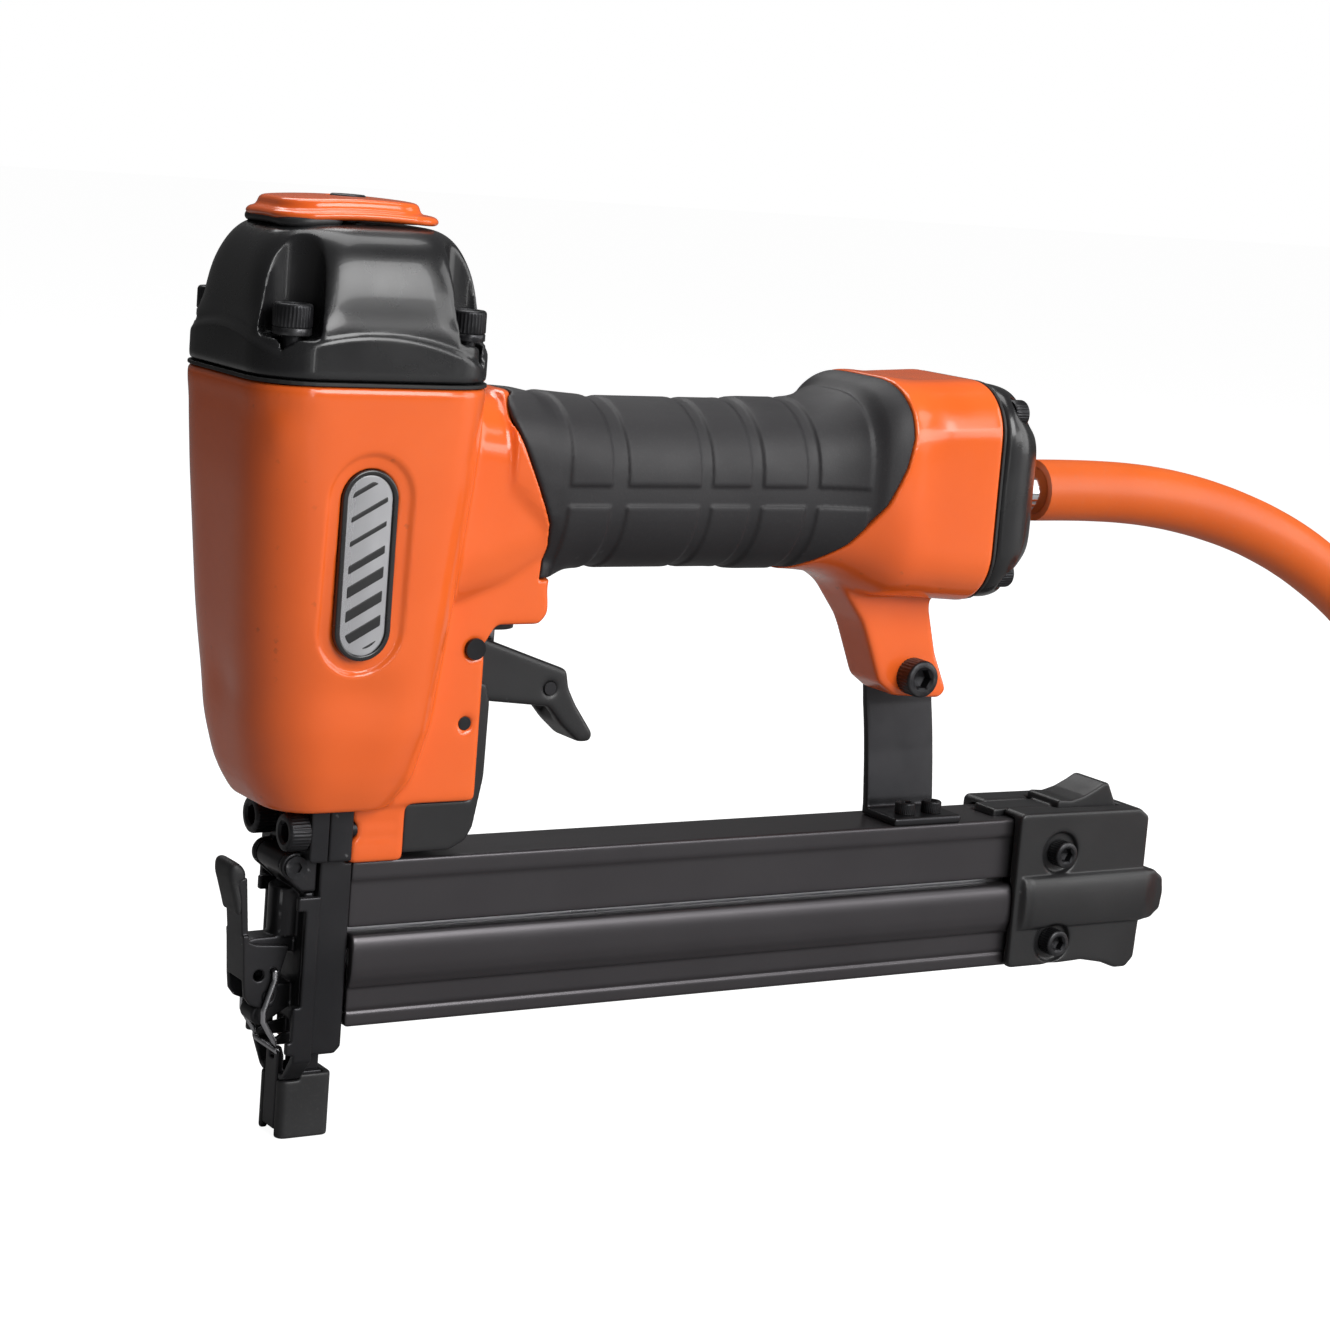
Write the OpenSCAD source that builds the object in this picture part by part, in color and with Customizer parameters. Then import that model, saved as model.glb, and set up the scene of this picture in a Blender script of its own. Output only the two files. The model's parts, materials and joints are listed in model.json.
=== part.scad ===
// Light pneumatic nail gun for short brads: an aluminium body over a steel nose and a side-loading magazine.
// Millimetres. The nail leaves along Z: z = 0 is the foot of the nose pad, x = 0 and y = 0 the drive axis.
// +X runs from the nose to the hose, the trigger side faces +X, and +Y is the far side.

/* [Barrel] */
// Length of the barrel along X
barrel_l = 56; // [55:0.5:58]
// Width of the barrel along Y
barrel_w = 53; // [52:0.5:56]
// Height of the joint between barrel and cap
barrel_top = 171; // [170:0.5:173]
// Underside of the barrel
barrel_bottom = 77; // [76.5:0.5:77.5]
// Height of the cap
cap_h = 34; // [33:0.5:36]
// Distance of the cap screws from the drive axis, along X
cap_screw_x = 20.5; // [20:0.25:21]
// Distance of the cap screws from the drive axis, along Y
cap_screw_y = 19.5; // [19:0.25:20]

/* [Cylinder] */
// Diameter of the cylinder bore
bore_d = 34; // [33:0.5:34]
// Stroke of the piston
stroke = 54; // [48:1:54]
// Width of the driver blade
blade_w = 3.2; // [3:0.1:3.4]
// Thickness of the driver blade
blade_t = 1.2; // [1:0.1:1.2]

/* [Handle] */
// Height of the handle's centre line
handle_z = 148; // [147:0.5:149]
// Width of the rubber grip
grip_w = 35; // [33:0.5:37]
// Height of the rubber grip
grip_h = 40; // [39:0.5:41]
// Thickness of the rubber on the handle
grip_t = 3.5; // [3:0.25:4]
// Joint between the rear housing and the end cap
rear_x = 165.5; // [165:0.5:167]
// Width of the rear housing
rear_w = 49; // [48:0.5:51]
// Height of the rear housing
rear_h = 54; // [52:0.5:55]
// Depth of the end cap
end_cap_l = 18; // [18:0.5:19]

/* [Magazine] */
// Rear end of the magazine rails
mag_rear = 194; // [192:0.5:195]
// Top of the fixed rail
mag_top = 64; // [64:0.25:64.25]
// Underside of the sliding rail
mag_bottom = 26; // [26:0.25:27]
// Width of the fixed rail
mag_w = 18; // [18:0.5:18.5]
// Width of the sliding rail
slide_w = 22; // [21.5:0.5:22.5]

/* [Nose] */
// Plane where the guide base and its covers meet
split_x = -0.8; // [-0.9:0.05:-0.75]
// Travel of the contact arm
arm_travel = 4.6; // [4:0.1:4.6]
// Height of the door's hinge pin
hinge_z = 63.4; // [63:0.2:64]
// Distance of the door's hinge pin in front of the drive axis
hinge_x = -6.6; // [-7:0.1:-6.4]

/* [Trigger] */
// Trigger pin, along X
trigger_x = 32; // [31.5:0.5:32]
// Trigger pin, height
trigger_z = 112; // [112:0.5:112.5]
// Centre of the trigger valve, along X
valve_x = 42; // [42:0.5:43]

/* [Hose] */
// Diameter of the hose
hose_d = 15.5; // [15:0.5:16]
// Height of the hose's exit
hose_z = 146.5; // [146:0.5:147]
// Diameter of the coil at the middle of its turns
coil_d = 155; // [150:1:170]

/* [Hidden] */
$fn = 48;
fine = 32;
gap = 0.3;
running = 0.06;
m5_r = 2.5;
m4_r = 2;
gasket_t = 0.8;
cap_bottom = barrel_top + gasket_t;
cap_top = barrel_top + cap_h;
cap_seat = 181;
sleeve_r = bore_d / 2 + 2;
chamber_r = 20.5;
chamber_z = 106;
floor_z = 86;
bumper_r = 15;
sleeve_bottom = 98;
sleeve_top = 169.7;
valve_seat = 170;
piston_z = 154;
piston_h = 8;
blade_tip = piston_z - 92;
core_r = grip_w / 2 - grip_t;
core_half = grip_h / 2 - grip_t - core_r;
air_r = 10;
web_x = 35;
web_w = 25;
leg_x = [5, 18.3];
leg_w = 23;
flange_top = barrel_bottom;
flange_z = 65;
flange_w = 25;
guide_w = 18;
shoe_top = 15.2;
guide_foot = shoe_top + arm_travel + 0.2;
guide_tip = 8;
guide_tip_w = 6.8;
bar_y = guide_w / 2 + 0.4;
latch_pivot = [-9.6, 33.2];
latch_w = 9.6;
bail_pivot = [-8.6, 39];
bail_y = 5.65;
wire_r = 0.7;
screw_y = 8.8;
screw_z = 71.5;
rail_front = 7;
tail_x = [192, 234];
tail_w = 25;
tail_z = [23.4, 66];
tail_screw_x = 205.7;
tail_screw_z = [32.1, 55.2];
button_pin = [217, 63];
bracket_y = 6.3;
bracket_x = [155, 175.5];
boss_screw = [157, 101.5];
foot_screws = [161, 169];
foot_screw_y = -4.5;
fitting_end = 195;
coil_c = [436, -58];
coil_h = 46.6;
// The hose from its fitting to the coil, drooping under its own weight.
hose_route = [
    [195, 0, 146.5], [205, 0, 146.5], [215, 0, 146.3], [225, 0, 145.8], [235, 0, 144.8], [245, 0, 143.2],
    [255, 0, 141], [265, 0, 138.2], [275, 0, 134.7], [285, 0, 130.4], [294, 0.4, 125.8],
    [303, 0.8, 120.6], [312, 1.5, 114.6], [321, 2.3, 107.8], [330, 3.2, 100], [338, 4.3, 91.8],
    [345.5, 5.6, 83], [352.5, 7, 73.8], [359.3, 8.6, 64.4], [366, 10.3, 55], [372.8, 12, 45.8],
    [380, 13.8, 37], [387.8, 15.5, 28.8], [396.4, 17, 21.4], [406, 18.2, 15.2], [416.6, 19, 10.8],
    [426, 19.4, 8.6], [436, 19.5, 7.8]
];

// ---- shared shapes ----

// Shape drawn in X and Z, extruded along Y from y0 to y1.
module along_y(y0, y1) {
    translate([0, y1, 0]) rotate([90, 0, 0]) linear_extrude(y1 - y0) children();
}

// Shape drawn in Y and Z, extruded along X from x0 to x1.
module along_x(x0, x1) {
    translate([x0, 0, 0]) rotate([90, 0, 90]) linear_extrude(x1 - x0) children();
}

module box(low, high) {
    translate(low) cube(high - low);
}

module rod_x(x0, x1, y, z, r) {
    translate([x0, y, z]) rotate([0, 90, 0]) cylinder(h = x1 - x0, r = r);
}

module rod_y(y0, y1, x, z, r) {
    translate([x, y0, z]) rotate([-90, 0, 0]) cylinder(h = y1 - y0, r = r);
}

module ring(z0, z1, r_in, r_out) {
    difference() {
        translate([0, 0, z0]) cylinder(h = z1 - z0, r = r_out);
        translate([0, 0, z0 - 1]) cylinder(h = z1 - z0 + 2, r = r_in);
    }
}

module torus(z, r, section) {
    translate([0, 0, z]) rotate_extrude() translate([r, 0]) circle(r = section);
}

// Four upright corner posts of one level of a tapered casting: half sizes a along X and b along Y.
module level(z, a, b, r, h = 0.5) {
    for (sx = [-1, 1], sy = [-1, 1])
        translate([sx * (a - r), sy * (b - r), z]) cylinder(h = h, r = r, $fn = fine);
}

// The same for a casting that runs along X: half width b, heights from z0 to z1.
module frame_x(x, b, z0, z1, r, h = 0.5) {
    for (sy = [-1, 1], z = [z0 + r, z1 - r])
        translate([x, sy * (b - r), z]) rotate([0, 90, 0]) cylinder(h = h, r = r, $fn = fine);
}

// Socket screw along +Z: the head sits on z = 0 and the shank points down.
module socket_screw(r, shank) {
    difference() {
        union() {
            cylinder(h = 2 * r, r = 1.7 * r);
            translate([0, 0, -shank]) cylinder(h = shank + 0.1, r = r);
        }
        translate([0, 0, r]) cylinder(h = 2 * r, r = 0.95 * r, $fn = 6);
    }
}

// Tube of round section through a list of points, one ring of corners at each point.
function unit(v) = v / norm(v);
function heading(p, i) = unit(p[min(i + 1, len(p) - 1)] - p[max(i - 1, 0)]);
function side_of(h) = unit(cross(h, abs(h[1]) > 0.9 ? [1, 0, 0] : [0, 1, 0]));
function ring_points(c, h, r, n) =
    let (s = side_of(h), t = cross(h, s))
    [for (k = [0 : n - 1]) c + r * (cos(360 * k / n) * s + sin(360 * k / n) * t)];
module sweep(p, r, n) {
    m = len(p);
    points = [for (i = [0 : m - 1]) each ring_points(p[i], heading(p, i), r, n)];
    sides = [for (i = [0 : m - 2], k = [0 : n - 1])
        let (a = i * n + k, b = i * n + (k + 1) % n) each [[a, b, b + n], [a, b + n, a + n]]];
    first = [for (k = [n - 1 : -1 : 0]) k];
    last = [for (k = [0 : n - 1]) (m - 1) * n + k];
    polyhedron(points, concat([first], sides, [last]), convexity = 6);
}

// Coil spring along Z with closed end turns.
function coil_points(z0, z1, r, turns, steps) =
    [for (i = [0 : turns * steps])
        let (u = i / (turns * steps),
            v = u < 0.15 ? u / 3 : u > 0.85 ? 1 - (1 - u) / 3 : 0.05 + (u - 0.15) * 0.9 / 0.7)
        [r * cos(360 * i / steps), r * sin(360 * i / steps), z0 + (z1 - z0) * v]];
module spring(z0, z1, r, wire, turns) {
    sweep(coil_points(z0 + wire, z1 - wire, r, turns, 14), wire, 6);
}

// ---- body castings ----

module barrel_shape() {
    a = barrel_l / 2;
    b = barrel_w / 2;
    hull() {
        level(barrel_top - 0.5, a, b, 13);
        level(150, a - 0.8, b - 0.6, 14);
        level(120, a - 3, b - 1.8, 15);
        level(95, a - 5.5, b - 4, 15);
        level(84, a - 8, b - 6.5, 14);
        level(barrel_bottom, a - 13, b - 10, 10);
    }
}

// Neck between barrel and handle, on the body casting.
module neck_shape() {
    hull() {
        frame_x(12, 19, 117, barrel_top - 1, 12);
        frame_x(38, 15, 122, barrel_top - 3, 12);
        frame_x(54, core_r, 129.5, handle_z + core_r + core_half + 1.5, core_r - 0.5);
    }
}

module core_shape() {
    for (s = [-1, 1])
        rod_x(45, 140, 0, handle_z + s * core_half, core_r);
    box([45, -core_r, handle_z - core_half], [140, core_r, handle_z + core_half]);
}

module rear_shape() {
    top = handle_z + rear_h / 2;
    bottom = handle_z - rear_h / 2;
    hull() {
        frame_x(124, core_r, handle_z - core_r - core_half, handle_z + core_r + core_half, core_r - 0.5);
        frame_x(140, rear_w / 2 - 2, bottom + 1.5, top - 1, 13);
        frame_x(rear_x - 0.5, rear_w / 2, bottom, top, 13);
    }
}

module web_shape() {
    along_y(-web_w / 2, web_w / 2) polygon([[5, barrel_bottom], [web_x, barrel_bottom], [web_x, 113],
        [37.5, 117], [48.5, 117], [50.5, 119.5], [50.5, 131], [5, 131]]);
}

// Leg of the rear housing that carries the strap.
module boss_leg() {
    along_y(-7.5, bracket_y - gap / 3) polygon([[131, 130], [134, 124], [141, 115], [142.5, 112],
        [147.5, 100],
        [152.5, 96.5], [166.5, 95.5], [168.5, 97.5], [164, 107], [161, 118], [161, 130]]);
}

module side_recess(s) {
    translate([-2.5, s * 23.6, 0]) along_y(min(0, s * 5), max(0, s * 5)) hull() {
        translate([0, 148]) circle(r = 6.6);
        translate([0, 118]) circle(r = 6.6);
    }
}

module body_housing() color([0.96, 0.36, 0.08]) {
    difference() {
        union() {
            barrel_shape();
            neck_shape();
            core_shape();
            rear_shape();
            web_shape();
            boss_leg();
            box([leg_x[0], -leg_w / 2, mag_top], [leg_x[1], leg_w / 2, barrel_bottom + 4]);
        }
        // cylinder chamber, sleeve seat and driver hole
        translate([0, 0, chamber_z]) cylinder(h = 100, r = chamber_r);
        translate([0, 0, sleeve_bottom]) cylinder(h = 10, r = sleeve_r);
        translate([0, 0, floor_z]) cylinder(h = 20, r = bumper_r);
        translate([0, 0, 70]) cylinder(h = 20, r = 2.2);
        // air reservoir in the handle
        rod_x(0, rear_x + 1, 0, handle_z, air_r);
        rod_x(rear_x - 9, rear_x + 1, 0, handle_z, 17);
        // trigger slot, pins and valve
        box([24, -6.4, 84], [web_x + 1, 6.4, 117.01]);
        box([32.6, -2.9, 76], [web_x + 1, 2.9, 85]);
        box([web_x - 2, -6.4, 106], [60, 6.4, 117.01]);
        rod_y(-20, 20, trigger_x, trigger_z, m4_r);
        rod_y(-20, 20, 31, 95, 1.5);
        translate([valve_x, 0, 110]) cylinder(h = 35, r = 5);
        // screws
        for (sx = [-1, 1], sy = [-1, 1])
            translate([sx * cap_screw_x, sy * cap_screw_y, barrel_top - 16]) cylinder(h = 20, r = m5_r);
        for (sy = [-1, 1]) rod_x(leg_x[0] - 1, 16, sy * screw_y, screw_z, m5_r);
        for (sy = [-1, 1], sz = [-1, 1]) rod_x(rear_x - 14, rear_x + 1, sy * 17.5, handle_z + sz * 19.5,
            m4_r);
        rod_y(-20, 20, boss_screw[0], boss_screw[1], m5_r);
        for (s = [-1, 1]) side_recess(s);
    }
}

module cap_corner(sx, sy) {
    translate([sx * (cap_screw_x + 0.8), sy * (cap_screw_y + 0.8), cap_seat]) cylinder(h = 40, r = 6.2);
}

module cylinder_cap() color([0.05, 0.05, 0.06]) {
    a = barrel_l / 2;
    b = barrel_w / 2;
    difference() {
        hull() {
            level(cap_bottom, a, b, 13);
            level(183, a, b, 13);
            level(194, a - 1.2, b - 1.2, 13);
            level(201, a - 4.5, b - 4.5, 12);
            level(cap_top - 0.5, a - 9, b - 9, 10);
        }
        for (sx = [-1, 1], sy = [-1, 1]) {
            cap_corner(sx, sy);
            translate([sx * cap_screw_x, sy * cap_screw_y, 160]) cylinder(h = 30, r = m5_r + 0.3);
        }
        // head valve chamber round a hollow exhaust post
        difference() {
            translate([0, 0, 160]) cylinder(h = 36, r = 20);
            translate([0, 0, 180.4]) cylinder(h = 30, r = 9);
        }
        translate([0, 0, 160]) cylinder(h = cap_top - 160 - 5, r = 6.5);
        // exhaust passage to the front of the top face, and the deflector screw
        box([-16, -9, cap_top - 6], [-3, 9, cap_top + 1]);
        translate([0, 0, cap_top - 12]) cylinder(h = 20, r = m4_r);
    }
}

module cap_gasket() color([0.12, 0.12, 0.12]) {
    difference() {
        hull() level(barrel_top, barrel_l / 2, barrel_w / 2, 13, gasket_t);
        translate([0, 0, 160]) cylinder(h = 20, r = chamber_r);
        for (sx = [-1, 1], sy = [-1, 1])
            translate([sx * cap_screw_x, sy * cap_screw_y, 160]) cylinder(h = 20, r = m5_r + 0.3);
    }
}

module cap_screws() color([0.1, 0.1, 0.1]) {
    for (sx = [-1, 1], sy = [-1, 1])
        translate([sx * cap_screw_x, sy * cap_screw_y, cap_seat + 1.6]) socket_screw(m5_r, 22);
}

// Split spring washers under the cap screws.
module cap_washers() color([0.2, 0.2, 0.2]) {
    for (sx = [-1, 1], sy = [-1, 1])
        translate([sx * cap_screw_x, sy * cap_screw_y, cap_seat]) difference() {
            cylinder(h = 1.6, r = 4.2);
            translate([0, 0, -1]) cylinder(h = 4, r = m5_r + 0.1);
            box([0, -0.4, -1], [6, 0.4, 3]);
        }
}

module exhaust_deflector() color([0.96, 0.36, 0.08]) {
    base = cap_top + gap / 3;
    difference() {
        union() {
            hull() for (x = [-9.5, 9.5], y = [-5, 5])
                translate([x, y, base]) cylinder(h = 1.7, r = 8.5, $fn = fine);
            hull() for (x = [-10.5, 7], y = [-4, 4])
                translate([x, y, base + 1.6]) cylinder(h = 2.8, r = 7, $fn = fine);
        }
        // exhaust slot to the front
        box([-30, -8.5, base - 1], [-4, 8.5, base + 2.6]);
        translate([0, 0, base - 1]) cylinder(h = 10, r = m4_r + running);
        translate([0, 0, base + 3.4]) cylinder(h = 10, r = 4.3);
    }
}

module deflector_screw() color([0.08, 0.08, 0.08]) {
    base = cap_top + gap / 3;
    difference() {
        union() {
            translate([0, 0, base + 3.5]) cylinder(h = 2.2, r = 4);
            translate([0, 0, cap_top - 11]) cylinder(h = 15, r = m4_r);
        }
        translate([0, 0, base + 4.3]) cylinder(h = 3, r = 1.4, $fn = 6);
    }
}

module badge_plates() color([0.75, 0.76, 0.78]) {
    for (s = [-1, 1]) translate([-2.5, s * 23.6, 0]) along_y(min(0, s * 1.6), max(0, s * 1.6)) hull() {
        translate([0, 147]) circle(r = 6.4);
        translate([0, 119]) circle(r = 6.4);
    }
}

// Outer form of the rubber: a tube over the handle that flares on to the neck and the rear housing.
module grip_form() {
    half = grip_h / 2 - grip_w / 2;
    for (s = [-1, 1]) rod_x(52, 128, 0, handle_z + s * half, grip_w / 2);
    box([52, -grip_w / 2, handle_z - half], [128, grip_w / 2, handle_z + half]);
    hull() {
        frame_x(36, 17.6, 140, barrel_top - 1.4, 13);
        frame_x(50, 17, 128, handle_z + grip_h / 2 + 0.5, 15);
        frame_x(62, grip_w / 2, handle_z - grip_h / 2, handle_z + grip_h / 2, 16.5);
    }
    hull() {
        frame_x(120, grip_w / 2, handle_z - grip_h / 2, handle_z + grip_h / 2, 16.5);
        frame_x(130, 20, handle_z - 20.4, handle_z + 21.4, 14.5);
    }
    hull() {
        frame_x(130, 20, handle_z - 20.4, handle_z + 21.4, 14.5);
        frame_x(137, 24.4, handle_z - 13, handle_z + rear_h / 2 - 0.4, 13);
    }
}

module rubber_grip() color([0.16, 0.16, 0.17]) {
    difference() {
        grip_form();
        neck_shape();
        core_shape();
        rear_shape();
        // leaves the trigger's room and the reservoir open
        box([30, -web_w / 2, 100], [50.5, web_w / 2, 131]);
        rod_x(0, 200, 0, handle_z, air_r + 1);
    }
}

module end_cap() color([0.06, 0.06, 0.07]) {
    x0 = rear_x + gasket_t;
    x1 = rear_x + end_cap_l;
    b = rear_w / 2;
    top = handle_z + rear_h / 2;
    bottom = handle_z - rear_h / 2;
    difference() {
        union() {
            hull() {
                frame_x(x0, b, bottom, top, 13);
                frame_x(x0 + 7.5, b - 1, bottom + 0.5, top - 1.5, 13);
                frame_x(x0 + 13.5, b - 5, bottom + 4, top - 5.5, 12);
                frame_x(x1 - 0.5, b - 11, bottom + 10, top - 12, 9);
            }
            rod_x(rear_x - 8, x0 + 2, 0, handle_z, 16.9);
        }
        rod_x(rear_x - 10, x1 - 7, 0, handle_z, 13);
        rod_x(rear_x, x1 + 5, 0, hose_z, 6.5);
        for (sy = [-1, 1], sz = [-1, 1]) {
            rod_x(rear_x - 2, x1 + 4, sy * 17.5, handle_z + sz * 19.5, m4_r + 0.2);
            rod_x(x0 + 5, x1 + 4, sy * 17.5, handle_z + sz * 19.5, 4);
        }
    }
}

module end_cap_gasket() color([0.12, 0.12, 0.12]) {
    difference() {
        hull() frame_x(rear_x, rear_w / 2 - 0.3, handle_z - rear_h / 2 + 0.3,
            handle_z + rear_h / 2 - 0.3, 13,
            gasket_t);
        rod_x(rear_x - 2, rear_x + 4, 0, handle_z, 17);
        for (sy = [-1, 1], sz = [-1, 1])
            rod_x(rear_x - 2, rear_x + 4, sy * 17.5, handle_z + sz * 19.5, m4_r + 0.2);
    }
}

module end_cap_screws() color([0.1, 0.1, 0.1]) {
    for (sy = [-1, 1], sz = [-1, 1])
        translate([rear_x + gasket_t + 5, sy * 17.5, handle_z + sz * 19.5]) rotate([0, 90, 0])
            socket_screw(m4_r, 18);
}

module air_fitting() color([0.8, 0.81, 0.83]) {
    x1 = rear_x + end_cap_l;
    difference() {
        union() {
            rod_x(x1 - 6, x1, 0, hose_z, 6.5);
            translate([x1, 0, hose_z]) rotate([0, 90, 0]) cylinder(h = 4.5, r = 8, $fn = 6);
            rod_x(x1, fitting_end, 0, hose_z, 6.1);
        }
        rod_x(x1 - 8, fitting_end + 1, 0, hose_z, 3.2);
    }
}

// ---- cylinder and valves ----

module cylinder_sleeve() color([0.78, 0.79, 0.8]) {
    difference() {
        union() {
            translate([0, 0, sleeve_bottom]) cylinder(h = sleeve_top - sleeve_bottom, r = sleeve_r);
            translate([0, 0, 116]) cylinder(h = 7, r = chamber_r - 0.05);
        }
        translate([0, 0, sleeve_bottom - 1]) cylinder(h = 100, r = bore_d / 2);
        ring(118.3, 120.7, chamber_r - 1.4, chamber_r + 2);
        // return air holes under the flange
        for (a = [0 : 45 : 359], z = [108.5, 113]) rotate([0, 0, a]) rod_x(10, 30, 0, z, 1.2);
    }
}

module sleeve_o_rings() color([0.08, 0.08, 0.08]) {
    torus(119.5, chamber_r - 0.7, 0.65);
}

module bumper() color([0.12, 0.12, 0.12]) {
    ring(floor_z, piston_z - stroke - 0.4, 5, bumper_r - 0.1);
}

module drive_piston() color([0.7, 0.7, 0.72]) {
    difference() {
        union() {
            translate([0, 0, piston_z]) cylinder(h = piston_h, r = bore_d / 2 - running);
            translate([0, 0, piston_z - 6]) cylinder(h = 7, r = 4);
        }
        ring(piston_z + 3, piston_z + 5.4, bore_d / 2 - 2, bore_d / 2 + 2);
        translate([0, 0, piston_z + 5]) cylinder(h = 6, r = 11);
        box([-blade_t / 2, -blade_w / 2, piston_z - 8], [blade_t / 2, blade_w / 2, piston_z + 2]);
    }
}

module piston_o_ring() color([0.08, 0.08, 0.08]) {
    torus(piston_z + 4.2, bore_d / 2 - 1.05, 0.93);
}

module driver_blade() color([0.6, 0.61, 0.63]) {
    box([-blade_t / 2, -blade_w / 2, blade_tip], [blade_t / 2, blade_w / 2, piston_z + 2]);
}

module head_valve_piston() color([0.85, 0.85, 0.83]) {
    difference() {
        translate([0, 0, valve_seat]) cylinder(h = 12, r = 20 - running);
        translate([0, 0, 177 - gap]) cylinder(h = 10, r = 9 + running);
        translate([0, 0, valve_seat - 1]) cylinder(h = 12, r = 6);
        ring(174.8, 177.2, 18, 22);
        ring(179, 183, 13, 17);
    }
}

module head_valve_o_ring() color([0.08, 0.08, 0.08]) {
    torus(176, 18.95, 0.93);
}

module head_valve_spring() color([0.7, 0.7, 0.7]) {
    spring(179.1, 195.9, 15, 0.8, 4);
}

// ---- trigger ----

module trigger_outline() {
    polygon([[29.5, 108.3], [34, 103.5], [39.5, 98.4], [56, 96.6], [60, 92], [64.6, 88], [68, 88],
        [68.5, 90],
        [63.4, 97], [61.2, 101], [60.4, 105.2], [53, 107.8], [39, 112.8], [33, 116]]);
    translate([trigger_x, trigger_z]) circle(r = 4.2);
}

module trigger() color([0.1, 0.1, 0.11]) {
    difference() {
        along_y(-6, 6) trigger_outline();
        rod_y(-10, 10, trigger_x, trigger_z, m4_r + running);
        // channel of the idler lever
        box([25, -2.6, 80], [59.2, 2.6, 120]);
        rod_y(-10, 10, 56, 101, 1.5);
    }
}

module trigger_pin() color([0.15, 0.15, 0.15]) {
    rod_y(-web_w / 2, web_w / 2, trigger_x, trigger_z, m4_r);
    for (s = [-1, 1])
        rod_y(s > 0 ? web_w / 2 : -web_w / 2 - 0.8, s > 0 ? web_w / 2 + 0.8 : -web_w / 2,
            trigger_x, trigger_z, m4_r + 0.4);
}

module idler_lever() color([0.55, 0.56, 0.58]) {
    difference() {
        along_y(-1.6, 1.6) polygon([[33.2, 99.4], [34, 99], [58, 99], [58.4, 102.4], [55, 103.2],
            [36, 102.4],
            [33.2, 100.6]]);
        rod_y(-10, 10, 56, 101, 1.5 + running);
    }
}

module idler_pin() color([0.3, 0.3, 0.3]) {
    rod_y(-6, 6, 56, 101, 1.5);
}

module trigger_valve_body() color([0.1, 0.1, 0.1]) {
    difference() {
        union() {
            translate([valve_x, 0, 116.5]) cylinder(h = 23.5, r = 5);
            translate([valve_x, 0, 114.8]) cylinder(h = 2.2, r = 5.6);
        }
        translate([valve_x, 0, 110]) cylinder(h = 40, r = 1.5 + running);
        translate([valve_x, 0, 121]) cylinder(h = 16, r = 3.3);
    }
}

module trigger_valve_stem() color([0.75, 0.76, 0.78]) {
    translate([valve_x, 0, 108.6]) cylinder(h = 20.2, r = 1.5);
    translate([valve_x, 0, 121.3]) cylinder(h = 3, r = 3.2);
}

module trigger_valve_spring() color([0.7, 0.7, 0.7]) {
    translate([valve_x, 0, 0]) spring(124.4, 136.9, 2.4, 0.35, 6);
}

// ---- nose ----

module guide_base() color([0.17, 0.17, 0.18]) {
    difference() {
        union() {
            box([split_x, -flange_w / 2, flange_z], [leg_x[0], flange_w / 2, flange_top]);
            along_y(-guide_w / 2, guide_w / 2) polygon([[split_x, guide_foot], [5.5, guide_foot],
                [7, guide_foot + 1.6],
                [7, mag_top], [leg_x[0], mag_top], [leg_x[0], flange_z + 1], [split_x, flange_z + 1]]);
            box([split_x, -guide_tip_w / 2, guide_tip], [4.6, guide_tip_w / 2, guide_foot + 1]);
            // ears that the latch wire pulls against
            for (s = [-1, 1]) along_y(s > 0 ? 3.4 : -4.6, s > 0 ? 4.6 : -3.4)
                polygon([[split_x + 1, 21.7], [-8, 21.7], [-7.6, 23.2], [-5, 24.6], [split_x + 1, 25.6]]);
        }
        // drive channel, feed slot and screw holes
        box([split_x - 1, -blade_w / 2 - 0.12, 0],
            [blade_t / 2 + 0.12, blade_w / 2 + 0.12, flange_top + 1]);
        box([-3, -1.2, 27.5], [12, 1.2, 60.5]);
        for (s = [-1, 1]) rod_x(-4, 8, s * screw_y, screw_z, m5_r);
    }
}

module front_plate() color([0.15, 0.15, 0.16]) {
    difference() {
        union() {
            box([-5.3, -flange_w / 2, flange_z], [split_x, flange_w / 2, flange_top]);
            for (s = [-1, 1]) along_y(s > 0 ? 6.4 : -8.2, s > 0 ? 8.2 : -6.4) {
                translate([hinge_x, hinge_z]) circle(r = 3.2);
                polygon([[hinge_x - 2.9, hinge_z + 1.4], [-5.3, 66.8], [-5.3, 70.5], [-3, 70.5],
                    [-1.2, flange_z + 0.5],
                    [-1.2, 57.5], [-4.7, 57.5], [hinge_x - 1.6, hinge_z - 2.8]]);
            }
        }
        rod_y(-12, 12, hinge_x, hinge_z, 1.5);
        for (s = [-1, 1]) rod_x(-7, 8, s * screw_y, screw_z, m5_r);
        // room for the pin's heads, and for the door's knuckle as it turns
        for (s = [-1, 1]) rod_y(s > 0 ? 8.2 : -12, s > 0 ? 12 : -8.2, hinge_x, hinge_z, 2.8);
        rod_y(-6.4, 6.4, hinge_x, hinge_z, 3.5);
    }
}

module nose_screws() color([0.1, 0.1, 0.1]) {
    for (s = [-1, 1]) translate([-5.3, s * screw_y, screw_z]) rotate([0, -90, 0]) socket_screw(m5_r, 20);
}

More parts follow.
